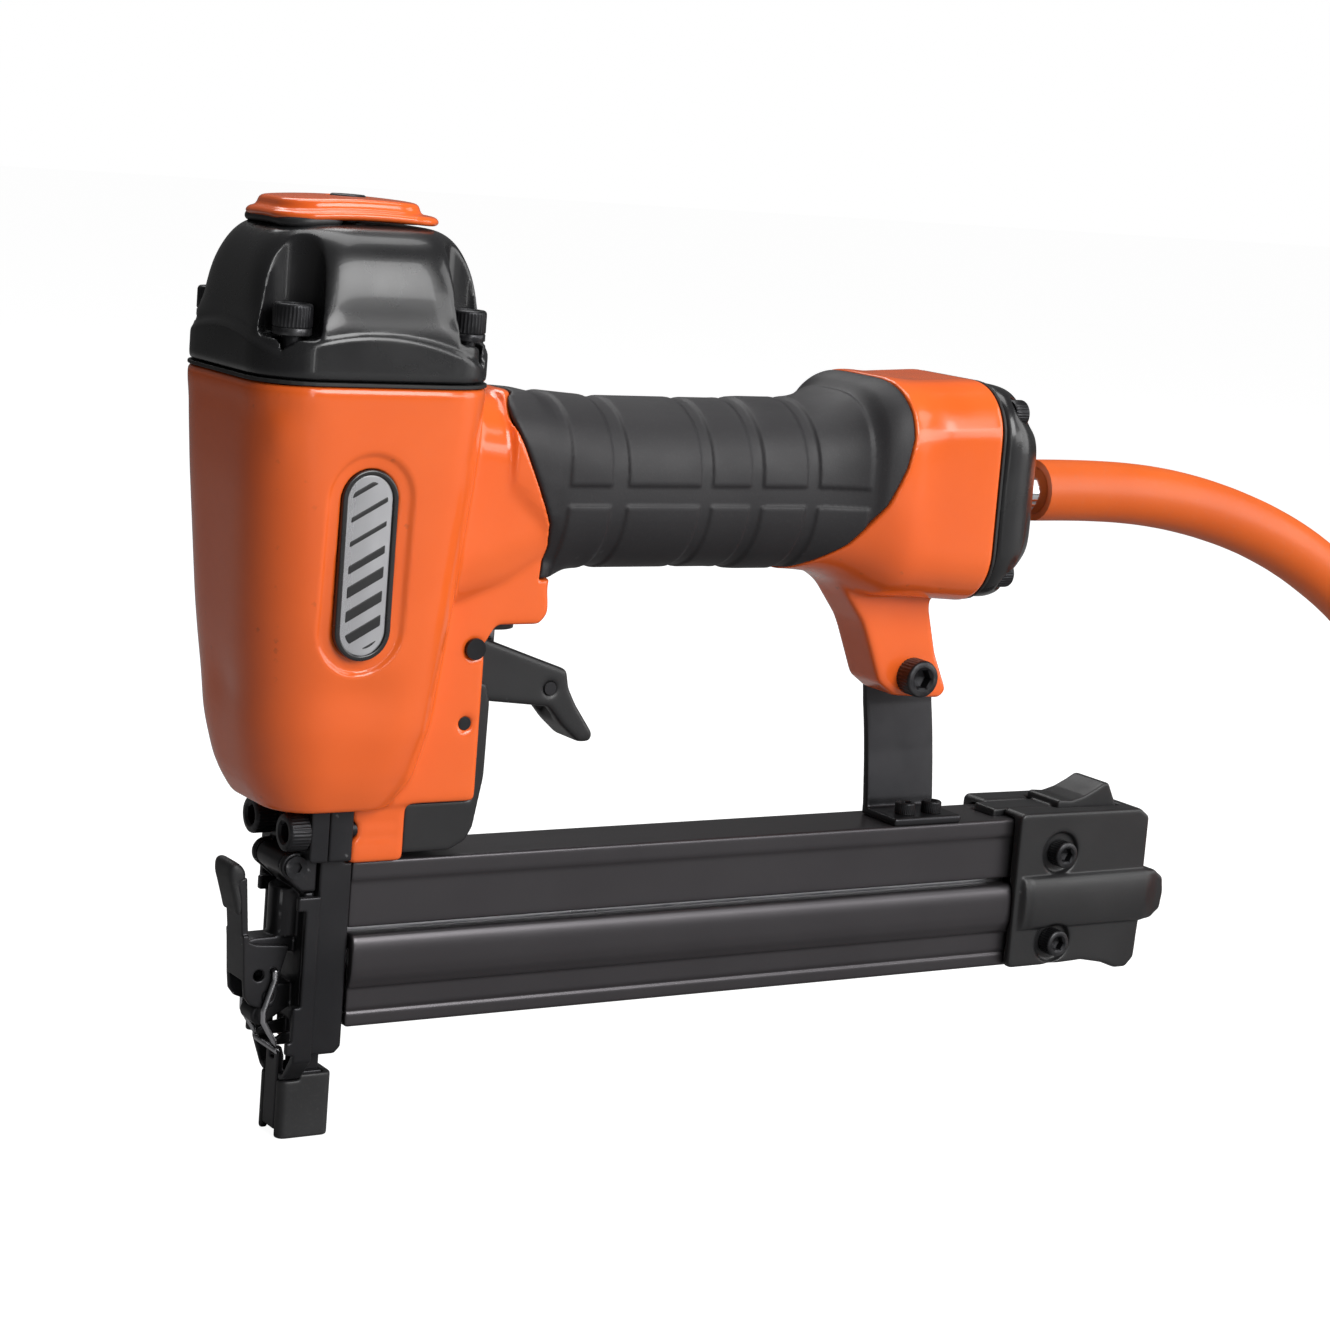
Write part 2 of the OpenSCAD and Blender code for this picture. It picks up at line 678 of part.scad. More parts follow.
// Door over the front of the drive channel, with a rolled rib and the knuckle of its hinge.
module guide_door() color([0.14, 0.14, 0.15]) {
    back = split_x - 0.1;
    front = back - 2.4;
    difference() {
        union() {
            rod_y(-6.1, 6.1, hinge_x, hinge_z, 2.9);
            along_y(-6.1, 6.1) polygon([[back - 2, 56], [back, 56], [back, 61], [back - 2.4, 62.4],
                [hinge_x + 0.6, hinge_z + 2.4],
                [hinge_x - 2.4, hinge_z - 1.6]]);
            along_y(-7.2, 7.2) polygon([[front, 28.6], [back, 28.6], [back, 57.1], [front, 57.1]]);
            along_y(-3, 3) polygon([[front, 26.9], [back, 26.9], [back, 30], [front, 30]]);
            // rolled rib
            translate([-4, 0, 46.4]) cylinder(h = 11.2, r = 4.4);
            // stop that the lever rests on
            along_y(-3.2, 3.2) polygon([[front + 1, 42.6], [-13.4, 43.4], [-14.5, 44.4], [-14.5, 46],
                [-13, 46.4], [front + 1, 46.6]]);
            // arm of the lever's pivot, with a round foot
            along_y(-3.2, 3.2) {
                polygon([[front + 1, 30.9], [front + 1, 35.6], [latch_pivot[0], latch_pivot[1] + 2.4],
                    [latch_pivot[0] - 2.2, latch_pivot[1] - 1], [latch_pivot[0] - 1, 28.4],
                        [latch_pivot[0] + 1, 26.9]]);
                translate(latch_pivot) circle(r = 2.4);
                translate([latch_pivot[0] - 0.8, 28.6]) circle(r = 2.3);
            }
        }
        // everything stays in front of the split plane
        box([back, -10, 20], [8, 10, 66]);
        rod_y(-12, 12, hinge_x, hinge_z, 1.5 + running);
        rod_y(-12, 12, latch_pivot[0], latch_pivot[1], 1.25);
    }
}

module door_hinge_pin() color([0.2, 0.2, 0.2]) {
    difference() {
        union() {
            rod_y(-9.1, 9.1, hinge_x, hinge_z, 1.5);
            rod_y(-9.1, -8.2, hinge_x, hinge_z, 2.6);
            rod_y(8.2, 9.1, hinge_x, hinge_z, 2.4);
        }
        translate([hinge_x, -9.2, hinge_z]) rotate([-90, 0, 0]) cylinder(h = 0.7, r = 1.3, $fn = 6);
    }
}

// Stamped lever of the door latch: a front web with two side cheeks.
module latch_lever() color([0.17, 0.17, 0.18]) {
    half = latch_w / 2;
    difference() {
        along_y(-half, half) polygon([[-15.9, 60.5], [-15.1, 50], [-14.8, 46], [-13.2, 45.3],
            [-11.6, 45.1], [-5.6, 44.6],
            [-5.2, 44.2], [-5.8, 42.2], [-6.6, 39.5], [-7.2, 36.5], [-7.3, 33.2], [-8.2, 30.9],
                [-10.6, 30.4],
            [-12.4, 31], [-13.9, 31.6], [-15.3, 33.4], [-15.7, 37], [-16.2, 45], [-17.3, 56], [-18.3, 60]]);
        box([-14.8, 1.3 - half, 20], [0, half - 1.3, 48]);
        box([-25, 1.3 - half, 20], [-10, half - 1.3, 37]);
        for (s = [-1, 1]) box([-25, s > 0 ? half - 0.6 : -7, 47.5], [-10, s > 0 ? 7 : 0.6 - half, 70]);
        // window in each cheek
        rod_y(-7, 7, -12.1, 38.2, 1.3);
        rod_y(-7, 7, latch_pivot[0], latch_pivot[1], 1.25 + running);
        rod_y(-7, 7, bail_pivot[0], bail_pivot[1], wire_r + running);
    }
}

// Moulded finger pad on the lever's tip.
module latch_grip() color([0.1, 0.1, 0.1]) {
    difference() {
        along_y(-4.9, 4.9) polygon([[-14.5, 51.5], [-14.8, 58], [-16.6, 62.6], [-18.6, 64.4],
            [-20.4, 63.8], [-20.4, 60.6],
            [-18.8, 55], [-18, 51]]);
        along_y(-4.2, 4.2) polygon([[-15.9, 60.5], [-15.1, 50], [-14.8, 45.8], [-16.2, 45], [-17.3, 56],
            [-18.3, 60]]);
    }
}

module latch_pin() color([0.3, 0.3, 0.3]) {
    rod_y(-latch_w / 2, latch_w / 2, latch_pivot[0], latch_pivot[1], 1.25);
}

// Wire that hangs from the lever and reaches under the ears of the nose.
bail_side = [bail_pivot, [-8.6, 37.2], [-9.8, 33.6], [-10.9, 30.2], [-10.8, 27.8], [-9.4, 25.4],
    [-7.8, 23], [-7, 20.7]];
function bail_path() = concat(
    [[bail_pivot[0], -3.6, bail_pivot[1]]],
    [for (p = bail_side) [p[0], -bail_y, p[1]]],
    [for (i = [len(bail_side) - 1 : -1 : 0]) [bail_side[i][0], bail_y, bail_side[i][1]]],
    [[bail_pivot[0], 3.6, bail_pivot[1]]]);
module wire_bail() color([0.8, 0.8, 0.82]) {
    sweep(bail_path(), wire_r, 8);
}

// Side bars, shoe and safety link of the contact arm, one bent steel part.
module contact_arm() color([0.16, 0.16, 0.17]) {
    front = split_x - 0.3;
    link_y = flange_w / 2 + 0.4;
    half = guide_tip_w / 2 + gap;
    for (s = [0, 1]) mirror([0, s, 0]) {
        // side bar with its hooked top
        along_y(bar_y, bar_y + 1.6) polygon([[-6.2, 21], [-7.4, 21.2], [-7.4, 24], [-6.2, 24.1], [-6.2, 32],
            [front - 3.4, 32], [front - 3.4, 53.8], [front - 5.4, 53.8], [front - 5.4, 57], [front, 57],
                [front, 21]]);
        // neck that slopes in to the shoe
        along_x(-5.6, front) polygon([[half, 13.6], [half + 1, 13.6], [6.2, 14.2], [bar_y, 17.6],
            [bar_y + 1.6, 19.4],
            [bar_y + 1.6, 23], [bar_y, 23], [bar_y, 20.6], [5.6, shoe_top], [half, shoe_top]]);
        // side of the shoe
        box([-3.9, half, 1.6], [4.8, half + 1, shoe_top]);
        // prong of the tongue's forked top
        along_y(1.1, 3.1) polygon([[-5.6, 14], [-5.6, 19.6], [-6, 20.6], [-4.6, 20.9], [-3.9, 18.6],
            [-3.9, 14]]);
    }
    box([-5.6, -3.1, 1.6], [-3.9, 3.1, 17.6]);
    box([-3.9, -half - 1, 1.6], [-3.1, half + 1, shoe_top]);
    // link along the far side, then across under the web and up to the idler lever
    box([front - 3.4, bar_y, 55.4], [front, link_y + 1.6, 57]);
    box([front - 3.4, link_y, 55.4], [front, link_y + 1.6, 70.5]);
    box([front - 3.4, link_y, mag_top + 0.6], [34.4, link_y + 1.6, 70.5]);
    box([31, -2.4, 68], [34.4, link_y + 1.6, 70.5]);
    box([33, -2.4, 69.6], [35.2, 2.4, 98.6]);
    // stud that holds the safety spring down
    box([22, 7.2, 66.6], [29.5, link_y + 0.1, 68.2]);
}

module no_mar_pad() color([0.09, 0.09, 0.1]) {
    inner = guide_tip_w / 2 + gap + 1;
    difference() {
        hull() for (x = [-3.8, 5.1], y = [-4, 4])
            translate([x, y, 0]) cylinder(h = 14.8, r = 1.9, $fn = fine);
        box([-3.9, -inner, -1], [5.1, inner, 20]);
        box([-7, -3.2, -1], [-3, 3.2, 20]);
        // the shoe's necks leave at the top
        box([-7, -7, 13.5], [split_x - 0.3, 7, 20]);
    }
}

module safety_spring() color([0.7, 0.7, 0.7]) {
    translate([26, 10, 0]) spring(68.3, barrel_bottom - 0.1, 2.2, 0.35, 5);
}

// Black cover behind and under the trigger web.
module safety_guide_cover() color([0.07, 0.07, 0.08]) {
    difference() {
        along_y(-10, 10) polygon([[leg_x[1], 65.4], [30.5, 65.4], [34.5, 67.5], [36.2, 70.5],
            [38.2, 82], [38.4, 99],
            [37.2, 103.5], [web_x, 104], [web_x, barrel_bottom], [leg_x[1], barrel_bottom]]);
        // room for the contact arm's stud, cross bar and finger, and for the trigger's nose
        box([leg_x[1] + 1.6, 5.8, 60], [30.6, 12, 90]);
        box([30.5, -2.9, 67], [34.9, 12, 80]);
        box([32.6, -2.9, 69], [35.6, 2.9, 110]);
        box([33, -6.4, 97.5], [40, 6.4, 110]);
        rod_y(-20, 20, 31, 95, 1.5);
    }
}

module guide_cover_pin() color([0.3, 0.3, 0.3]) {
    rod_y(-web_w / 2 + 0.4, web_w / 2 - 0.4, 31, 95, 1.5);
}

// ---- magazine ----

module fixed_section() {
    w = mag_w / 2;
    difference() {
        union() {
            translate([-w, 59.6]) square([mag_w, mag_top - 59.6]);
            translate([-w + 0.5, 48.6]) square([mag_w - 1, 12]);
        }
        translate([-w + 2.5, 40]) square([mag_w - 5, 21.2]);
    }
}

module fixed_magazine() color([0.12, 0.115, 0.115]) {
    difference() {
        along_x(rail_front, mag_rear) fixed_section();
        box([188.6, -4.4, 62.1], [mag_rear + 1, 4.4, mag_top + 1]);
        for (x = foot_screws) translate([x, foot_screw_y, 55]) cylinder(h = 12, r = 1.5);
    }
}

// Rail inside the magazine: the brads stand in its middle slot, and the spring runs in its lower tunnel.
module magazine_core() color([0.3, 0.3, 0.31]) {
    along_x(rail_front, mag_rear) difference() {
        union() {
            translate([-5, 29.4]) square([10, 31.8]);
            translate([-7.7, 40]) square([15.4, 3.6]);
        }
        translate([-1.2, 28]) square([2.4, 32.4]);
        translate([-3.8, 30.6]) square([7.6, 7.8]);
    }
}

module slide_outline() {
    w = slide_w / 2;
    polygon([[-w + 1.2, mag_bottom], [w - 1.2, mag_bottom], [w - 1.2, 31], [w - 0.8, 31], [w - 0.8, 36],
        [w - 0.2, 37.4], [w, 39.5], [w, 44], [w - 0.3, 46.2], [w - 1.2, 47.3], [-w + 1.2, 47.3],
            [-w + 0.3, 46.2],
        [-w, 44], [-w, 39.5], [-w + 0.2, 37.4], [-w + 0.8, 36], [-w + 0.8, 31], [-w + 1.2, 31]]);
}

module movable_magazine() color([0.1, 0.1, 0.115]) {
    along_x(rail_front + 0.4, mag_rear + 1) difference() {
        slide_outline();
        translate([-8.1, 29]) square([16.2, 15]);
        translate([-5.4, 29]) square([10.8, 20]);
    }
    difference() {
        along_x(mag_rear + 1, 210) slide_outline();
        rod_x(190, 211, 0, 34.4, 1.2);
        for (s = [-1, 1]) rod_y(s > 0 ? 4 : -20, s > 0 ? 20 : -4, tail_screw_x, tail_screw_z[0], m4_r);
    }
}

module pusher() color([0.7, 0.71, 0.73]) {
    difference() {
        union() {
            box([rail_front + 1, -0.95, 31], [22, 0.95, 59.8]);
            box([12, -3.4, 31], [22, 3.4, 37.9]);
        }
        rod_x(0, 30, 0, 34.4, 1.2 + running);
    }
}

function along_axis_x(p, z) = [for (q = p) [q[2], q[0], q[1] + z]];
module pusher_spring() color([0.7, 0.7, 0.7]) {
    sweep(along_axis_x(coil_points(22.6, mag_rear + 0.4, 2.6, 24, 8), 34.4), 0.4, 5);
}

module pusher_rod() color([0.75, 0.76, 0.78]) {
    rod_x(14, 209, 0, 34.4, 1.2);
}

module tail_outline() {
    x0 = tail_x[0];
    x1 = tail_x[1];
    polygon([[x0, mag_bottom + 0.8], [x0 + 0.8, mag_bottom], [x0 + 14, mag_bottom],
        [x0 + 24, mag_bottom + 0.4],
        [x0 + 31, mag_bottom - 0.9], [x0 + 35.5, tail_z[0]], [x1 - 3, tail_z[0]],
            [x1 - 0.5, tail_z[0] + 2.5],
        [x1, 36], [x1, 63.4], [x1 - 3, tail_z[1] - 0.4], [x0 + 1, tail_z[1]], [x0, tail_z[1] - 1]]);
}

module tail_cap() color([0.08, 0.08, 0.085]) {
    b = tail_w / 2;
    difference() {
        union() {
            along_y(-b, b) tail_outline();
            // band that carries on the rail's bulge to a round end
            along_y(-b - 0.3, b + 0.3) polygon([[tail_x[0] + 5, 36.4], [237.5, 36.4], [240.4, 38.5],
                [241, 43],
                [240.4, 47], [237.5, 49], [tail_x[0] + 5, 49]]);
        }
        // the rails enter from the front
        box([tail_x[0] - 1, -mag_w / 2 - gap, 47], [mag_rear + 1, mag_w / 2 + gap, mag_top + gap]);
        along_x(tail_x[0] - 1, 210) slide_outline();
        // recess of the latch button, open at the front
        box([207.4, -6.9, 58.5], [228.4, 6.9, 80]);
        box([tail_x[0] - 1, -4.4, 62.1], [208, 4.4, 80]);
        rod_y(-9.5, 9.5, button_pin[0], button_pin[1], 1.5);
        for (z = tail_screw_z, s = [-1, 1]) {
            rod_y(s > 0 ? 8 : -20, s > 0 ? 20 : -8, tail_screw_x, z, m4_r);
            rod_y(s > 0 ? b - 1.5 : -20, s > 0 ? 20 : -b + 1.5, tail_screw_x, z, 5.4);
        }
    }
}

module tail_cap_screws() color([0.12, 0.12, 0.12]) {
    for (z = tail_screw_z, s = [-1, 1])
        translate([tail_screw_x, s * (tail_w / 2 - 1.5), z]) rotate([s > 0 ? -90 : 90, 0, 0])
            scale(0.8) socket_screw(m5_r, z > 50 ? 3.6 : 8);
}

module latch_button() color([0.09, 0.09, 0.09]) {
    difference() {
        union() {
            along_y(-6.5, 6.5) polygon([[208, 62], [208, 67], [208.8, 67.6], [212.6, 67.3],
                [216.6, 68.3], [220.4, 70],
                [223, 71.4], [224.4, 71.3], [227.6, 65], [227.7, 62.4], [224, 61.4], [209, 61.4]]);
            // arm with the tooth that drops into the fixed rail
            box([189.2, -4.1, 63.2], [209, 4.1, 65.7]);
            box([189.2, -4.1, 62.4], [190.6, 4.1, 64]);
        }
        rod_y(-20, 20, button_pin[0], button_pin[1], 1.5 + running);
    }
}

module latch_button_pin() color([0.3, 0.3, 0.3]) {
    rod_y(-9.5, 9.5, button_pin[0], button_pin[1], 1.5);
}

module latch_button_spring() color([0.7, 0.7, 0.7]) {
    translate([222.6, 0, 0]) spring(58.6, 61.3, 2, 0.3, 2);
}

// ---- strap between the rear housing and the magazine ----

module support_bracket() color([0.1, 0.1, 0.1]) {
    difference() {
        union() {
            along_x(bracket_x[0], bracket_x[1]) polygon([[3.4, mag_top], [3.4, 68], [5, 80],
                [bracket_y, 92],
                [bracket_y, 112], [bracket_y + 2, 112], [bracket_y + 2, 92], [7.1, 80], [5.6, 67],
                    [5.6, mag_top]]);
            box([bracket_x[0], -9, mag_top], [bracket_x[1], 5.6, mag_top + 2]);
        }
        rod_y(-20, 20, boss_screw[0], boss_screw[1], m5_r + 0.1);
        for (x = foot_screws) translate([x, foot_screw_y, 60]) cylinder(h = 12, r = 1.5);
    }
}

module bracket_screw() color([0.1, 0.1, 0.1]) {
    translate([boss_screw[0], -7.5, boss_screw[1]]) rotate([90, 0, 0]) socket_screw(m5_r, 18.3);
    difference() {
        translate([boss_screw[0], bracket_y + 2, boss_screw[1]]) rotate([-90, 0, 0]) cylinder(h = 4,
            r = 4.6, $fn = 6);
        rod_y(-20, 20, boss_screw[0], boss_screw[1], m5_r);
    }
}

module bracket_foot_screws() color([0.1, 0.1, 0.1]) {
    for (x = foot_screws) translate([x, foot_screw_y, mag_top + 2]) socket_screw(1.5, 4.6);
}

// ---- hose ----

module air_hose() color([0.95, 0.42, 0.1]) {
    sweep(hose_route, hose_d / 2, 12);
}

module hose_coil() color([0.95, 0.42, 0.1]) {
    translate([coil_c[0], coil_c[1], 0]) rotate_extrude(convexity = 4)
        translate([coil_d / 2 - hose_d / 2 - 0.5, 0]) square([hose_d + 1, coil_h]);
}

module hose_connector() color([0.75, 0.76, 0.78]) {
    y = coil_c[1] - coil_d / 2;
    z = coil_h - hose_d / 2;
    x = coil_c[0] - 2;
    rod_x(x - 60, x - 50, y, z, 6);
    rod_x(x - 50, x - 48, y, z, 5.2);
    rod_x(x - 48, x - 24, y, z, 9.5);
    rod_x(x - 24, x, y, z, 8.5);
}

body_housing();
cylinder_cap();
cap_gasket();
cap_screws();
cap_washers();
exhaust_deflector();
deflector_screw();
badge_plates();
rubber_grip();
end_cap();
end_cap_gasket();
end_cap_screws();
air_fitting();
cylinder_sleeve();
sleeve_o_rings();
bumper();
drive_piston();
piston_o_ring();
driver_blade();
head_valve_piston();
head_valve_o_ring();
head_valve_spring();
trigger();
trigger_pin();
idler_lever();
idler_pin();
trigger_valve_body();
trigger_valve_stem();
trigger_valve_spring();
guide_base();
front_plate();
nose_screws();
guide_door();
door_hinge_pin();
latch_lever();
latch_grip();
latch_pin();
wire_bail();
contact_arm();
no_mar_pad();
safety_spring();
safety_guide_cover();
guide_cover_pin();
fixed_magazine();
magazine_core();
movable_magazine();
pusher();
pusher_spring();
pusher_rod();
tail_cap();
tail_cap_screws();
latch_button();
latch_button_pin();
latch_button_spring();
support_bracket();
bracket_screw();
bracket_foot_screws();
air_hose();
hose_coil();
hose_connector();
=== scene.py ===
"""Looks of the pneumatic nail gun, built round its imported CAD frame."""

import json
import math

import bmesh
import bpy
import numpy as np
import openvdb
from mathutils import Matrix, Vector


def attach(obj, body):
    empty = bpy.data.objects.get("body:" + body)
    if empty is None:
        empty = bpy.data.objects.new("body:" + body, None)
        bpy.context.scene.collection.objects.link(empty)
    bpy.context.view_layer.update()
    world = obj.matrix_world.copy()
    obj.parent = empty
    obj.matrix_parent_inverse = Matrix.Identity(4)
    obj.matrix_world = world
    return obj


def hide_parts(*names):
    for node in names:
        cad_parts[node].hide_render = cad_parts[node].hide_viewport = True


MM = 0.001
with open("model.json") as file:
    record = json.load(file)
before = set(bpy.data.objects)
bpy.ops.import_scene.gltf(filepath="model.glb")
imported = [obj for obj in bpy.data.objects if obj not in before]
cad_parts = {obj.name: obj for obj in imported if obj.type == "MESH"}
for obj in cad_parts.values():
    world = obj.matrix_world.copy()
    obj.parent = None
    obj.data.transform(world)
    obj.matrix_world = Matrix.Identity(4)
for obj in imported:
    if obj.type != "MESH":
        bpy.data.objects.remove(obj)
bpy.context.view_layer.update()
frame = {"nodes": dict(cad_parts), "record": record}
nodes = frame["nodes"]
slot_of = {part["node"]: part["material_slot"] for part in frame["record"]["subparts"]}
body_of = {
    node: body
    for body, members in frame["record"]["behaviour"]["bodies"].items()
    for node in members
}


# ---------------------------------------------------------------- camera


def make_camera():
    """A long lens in front of the nose end, a little above the tool and slightly rolled."""
    azimuth, elevation, roll = map(math.radians, (-32.48, 9.15, 4.59))
    target, distance = Vector((0.09, 0, 0.115)), 0.7436
    back = Vector((
        math.sin(azimuth) * math.cos(elevation),
        -math.cos(azimuth) * math.cos(elevation),
        math.sin(elevation),
    ))
    right = Vector((math.cos(azimuth), math.sin(azimuth), 0))
    up = back.cross(right)
    side = right * math.cos(roll) + up * math.sin(roll)
    top = up * math.cos(roll) - right * math.sin(roll)
    camera = bpy.data.objects.new("camera", bpy.data.cameras.new("camera"))
    bpy.context.scene.collection.objects.link(camera)
    camera.matrix_world = Matrix.Translation(target + back * distance) @ Matrix(
        (side, top, back)
    ).transposed().to_4x4()
    camera.data.lens = 85.7
    camera.data.shift_x, camera.data.shift_y = -0.0022, -0.0331
    camera.data.clip_start = 0.01
    bpy.context.scene.camera = camera


# ---------------------------------------------------------------- materials


class Shader:
    """A small builder for one node material."""

    def __init__(self, name):
        self.material = bpy.data.materials.new(name)
        self.material.use_nodes = True
        self.tree = self.material.node_tree
        self.surface = self.tree.nodes["Principled BSDF"]
        self.place = self.add("ShaderNodeTexCoord").outputs["Object"]

    def add(self, kind, **settings):
        node = self.tree.nodes.new(kind)
        for key, value in settings.items():
            setattr(node, key, value)
        return node

    def link(self, output, node, socket):
        self.tree.links.new(output, node.inputs[socket])

    def noise(self, scale, detail=3.0, stretch=(1, 1, 1)):
        """Noise with scale features per metre, drawn out along the axes whose stretch is small."""
        mapping = self.add("ShaderNodeMapping")
        mapping.inputs["Scale"].default_value = stretch
        self.link(self.place, mapping, "Vector")
        node = self.add("ShaderNodeTexNoise")
        node.inputs["Scale"].default_value = scale
        node.inputs["Detail"].default_value = detail
        self.link(mapping.outputs["Vector"], node, "Vector")
        return node.outputs["Fac"]

    def spread(self, value, low, high, start=0.3, end=0.7):
        """Maps value from start..end to low..high."""
        node = self.add("ShaderNodeMapRange")
        node.inputs["From Min"].default_value = start
        node.inputs["From Max"].default_value = end
        node.inputs["To Min"].default_value = low
        node.inputs["To Max"].default_value = high
        self.link(value, node, "Value")
        return node.outputs["Result"]

    def mix(self, factor, first, second):
        """Mixes two colours; first may be a socket."""
        node = self.add("ShaderNodeMix", data_type="RGBA")
        self.link(factor, node, 0)
        if isinstance(first, tuple):
            node.inputs[6].default_value = (*first, 1)
        else:
            self.link(first, node, 6)
        node.inputs[7].default_value = (*second, 1)
        return node.outputs[2]

    def product(self, first, second):
        """The product of two values, clamped to 0..1."""
        node = self.add("ShaderNodeMath", operation="MULTIPLY", use_clamp=True)
        self.link(first, node, 0)
        self.link(second, node, 1)
        return node.outputs[0]

    def edges(self, start, end):
        """1 on worn convex edges, 0 on faces."""
        point = self.add("ShaderNodeNewGeometry").outputs["Pointiness"]
        return self.spread(point, 0.0, 1.0, start, end)

    def bump(self, height, distance, strength, under=None):
        """Bump of that height in metres, on top of another normal if one is given."""
        node = self.add("ShaderNodeBump")
        node.inputs["Distance"].default_value = distance
        node.inputs["Strength"].default_value = strength
        self.link(height, node, "Height")
        if under is not None:
            self.link(under, node, "Normal")
        return node.outputs["Normal"]


def finish_material(
    name,
    colour,
    second,
    rough,
    metal=0.0,
    coat=0.0,
    grain=(900, 0.02),
    dents=None,
    stretch=(1, 1, 1),
    worn=None,
    dust=0.0,
):
    """A painted, moulded or metal finish for one slot.

    The colour drifts to the second one, and rough is (smoothest, roughest). Grain and dents are
    (features per metre, height in mm), worn is the colour on rubbed edges and dust the share of
    pale specks.
    """
    shader = Shader(name)
    surface = shader.surface
    drift = shader.spread(shader.noise(38, 4), 0.0, 1.0, 0.35, 0.7)
    base = shader.mix(drift, colour, second)
    speckle = shader.noise(grain[0] * 0.6, 2, stretch)
    if dust:
        base = shader.mix(shader.spread(speckle, 0.0, dust, 0.55, 0.75), base, (0.35, 0.34, 0.33))
    if worn:
        breakup = shader.spread(shader.noise(420, 5), 0.0, 1.0, 0.42, 0.62)
        edge = shader.product(shader.edges(0.53, 0.6), breakup)
        base = shader.mix(edge, base, worn)
    shader.link(base, surface, "Base Color")
    smudge = shader.noise(70, 5, stretch)
    shader.link(shader.spread(smudge, *rough), surface, "Roughness")
    height = shader.noise(grain[0], 3, stretch)
    normal = shader.bump(height, grain[1] * MM, 0.6)
    if dents:
        normal = shader.bump(shader.noise(dents[0], 2), dents[1] * MM, 0.7, normal)
    shader.link(normal, surface, "Normal")
    surface.inputs["Metallic"].default_value = metal
    surface.inputs["Coat Weight"].default_value = coat
    surface.inputs["Coat Roughness"].default_value = 0.06
    return shader.material


def make_materials():
    """One material for each slot of the record."""
    along = (0.04, 1, 1)
    return {
        "orange_paint": finish_material(
            "orange_paint", (0.94, 0.150, 0.022), (0.90, 0.135, 0.018), (0.16, 0.26),
            coat=0.4, grain=(1500, 0.003), dents=(160, 0.012), worn=(0.72, 0.12, 0.02),
        ),
        "black_paint": finish_material(
            "black_paint", (0.012, 0.012, 0.013), (0.018, 0.018, 0.019), (0.22, 0.34),
            coat=0.25, grain=(1300, 0.003), dents=(190, 0.006),
        ),
        "grip_rubber": finish_material(
            "grip_rubber", (0.014, 0.013, 0.015), (0.018, 0.017, 0.019), (0.50, 0.62),
            grain=(2600, 0.03), dents=(420, 0.03), worn=(0.040, 0.040, 0.043), dust=0.015,
        ),
        "black_rubber": finish_material(
            "black_rubber", (0.016, 0.016, 0.017), (0.024, 0.024, 0.025), (0.42, 0.58),
            grain=(2000, 0.02), dents=(350, 0.03), dust=0.03,
        ),
        "seal_rubber": finish_material(
            "seal_rubber", (0.012, 0.012, 0.012), (0.02, 0.02, 0.02), (0.5, 0.7),
            grain=(2500, 0.01),
        ),
        "black_plastic": finish_material(
            "black_plastic", (0.014, 0.014, 0.015), (0.020, 0.020, 0.021), (0.34, 0.46),
            grain=(2400, 0.022), dents=(300, 0.02), worn=(0.05, 0.05, 0.05),
        ),
        "black_oxide": finish_material(
            "black_oxide", (0.016, 0.016, 0.018), (0.03, 0.03, 0.033), (0.30, 0.46),
            metal=0.6, grain=(2600, 0.012), worn=(0.16, 0.16, 0.165),
        ),
        "dark_steel": finish_material(
            "dark_steel", (0.030, 0.030, 0.033), (0.048, 0.047, 0.050), (0.28, 0.44),
            metal=0.75, grain=(1900, 0.015), dents=(240, 0.02), worn=(0.22, 0.22, 0.225),
        ),
        "gunmetal": finish_material(
            "gunmetal", (0.078, 0.073, 0.078), (0.086, 0.081, 0.086), (0.28, 0.36),
            metal=0.8, grain=(2600, 0.002), stretch=along,
        ),
        "bright_steel": finish_material(
            "bright_steel", (0.52, 0.52, 0.54), (0.42, 0.42, 0.44), (0.22, 0.36),
            metal=1.0, grain=(2600, 0.01), stretch=along,
        ),
        "spring_steel": finish_material(
            "spring_steel", (0.45, 0.45, 0.46), (0.34, 0.34, 0.35), (0.24, 0.38),
            metal=1.0, grain=(2200, 0.006),
        ),
        "silver": finish_material(
            "silver", (0.66, 0.66, 0.68), (0.56, 0.56, 0.58), (0.26, 0.40),
            metal=1.0, grain=(2800, 0.008), stretch=(1, 1, 0.05),
        ),
        "chrome": finish_material(
            "chrome", (0.74, 0.74, 0.76), (0.66, 0.66, 0.68), (0.07, 0.17),
            metal=1.0, grain=(900, 0.003),
        ),
        "brass": finish_material(
            "brass", (0.62, 0.42, 0.15), (0.50, 0.33, 0.12), (0.22, 0.36),
            metal=1.0, grain=(2000, 0.008), dents=(200, 0.02),
        ),
        "valve_plastic": finish_material(
            "valve_plastic", (0.62, 0.61, 0.57), (0.55, 0.54, 0.50), (0.4, 0.5),
            grain=(1800, 0.01),
        ),
        "hose_orange": finish_material(
            "hose_orange", (0.74, 0.125, 0.012), (0.70, 0.112, 0.010), (0.40, 0.50),
            grain=(1100, 0.03), dents=(130, 0.06), dust=0.04,
        ),
    }


# ---------------------------------------------------------------- mesh helpers

SCREW_LOOPS, SCREW_TEETH = 192, 32
TURNED_LOOPS = 64
HEAD_HEIGHT, HEAD_KNURL = 1.18, 0.03  # of a screw's head, in head radii


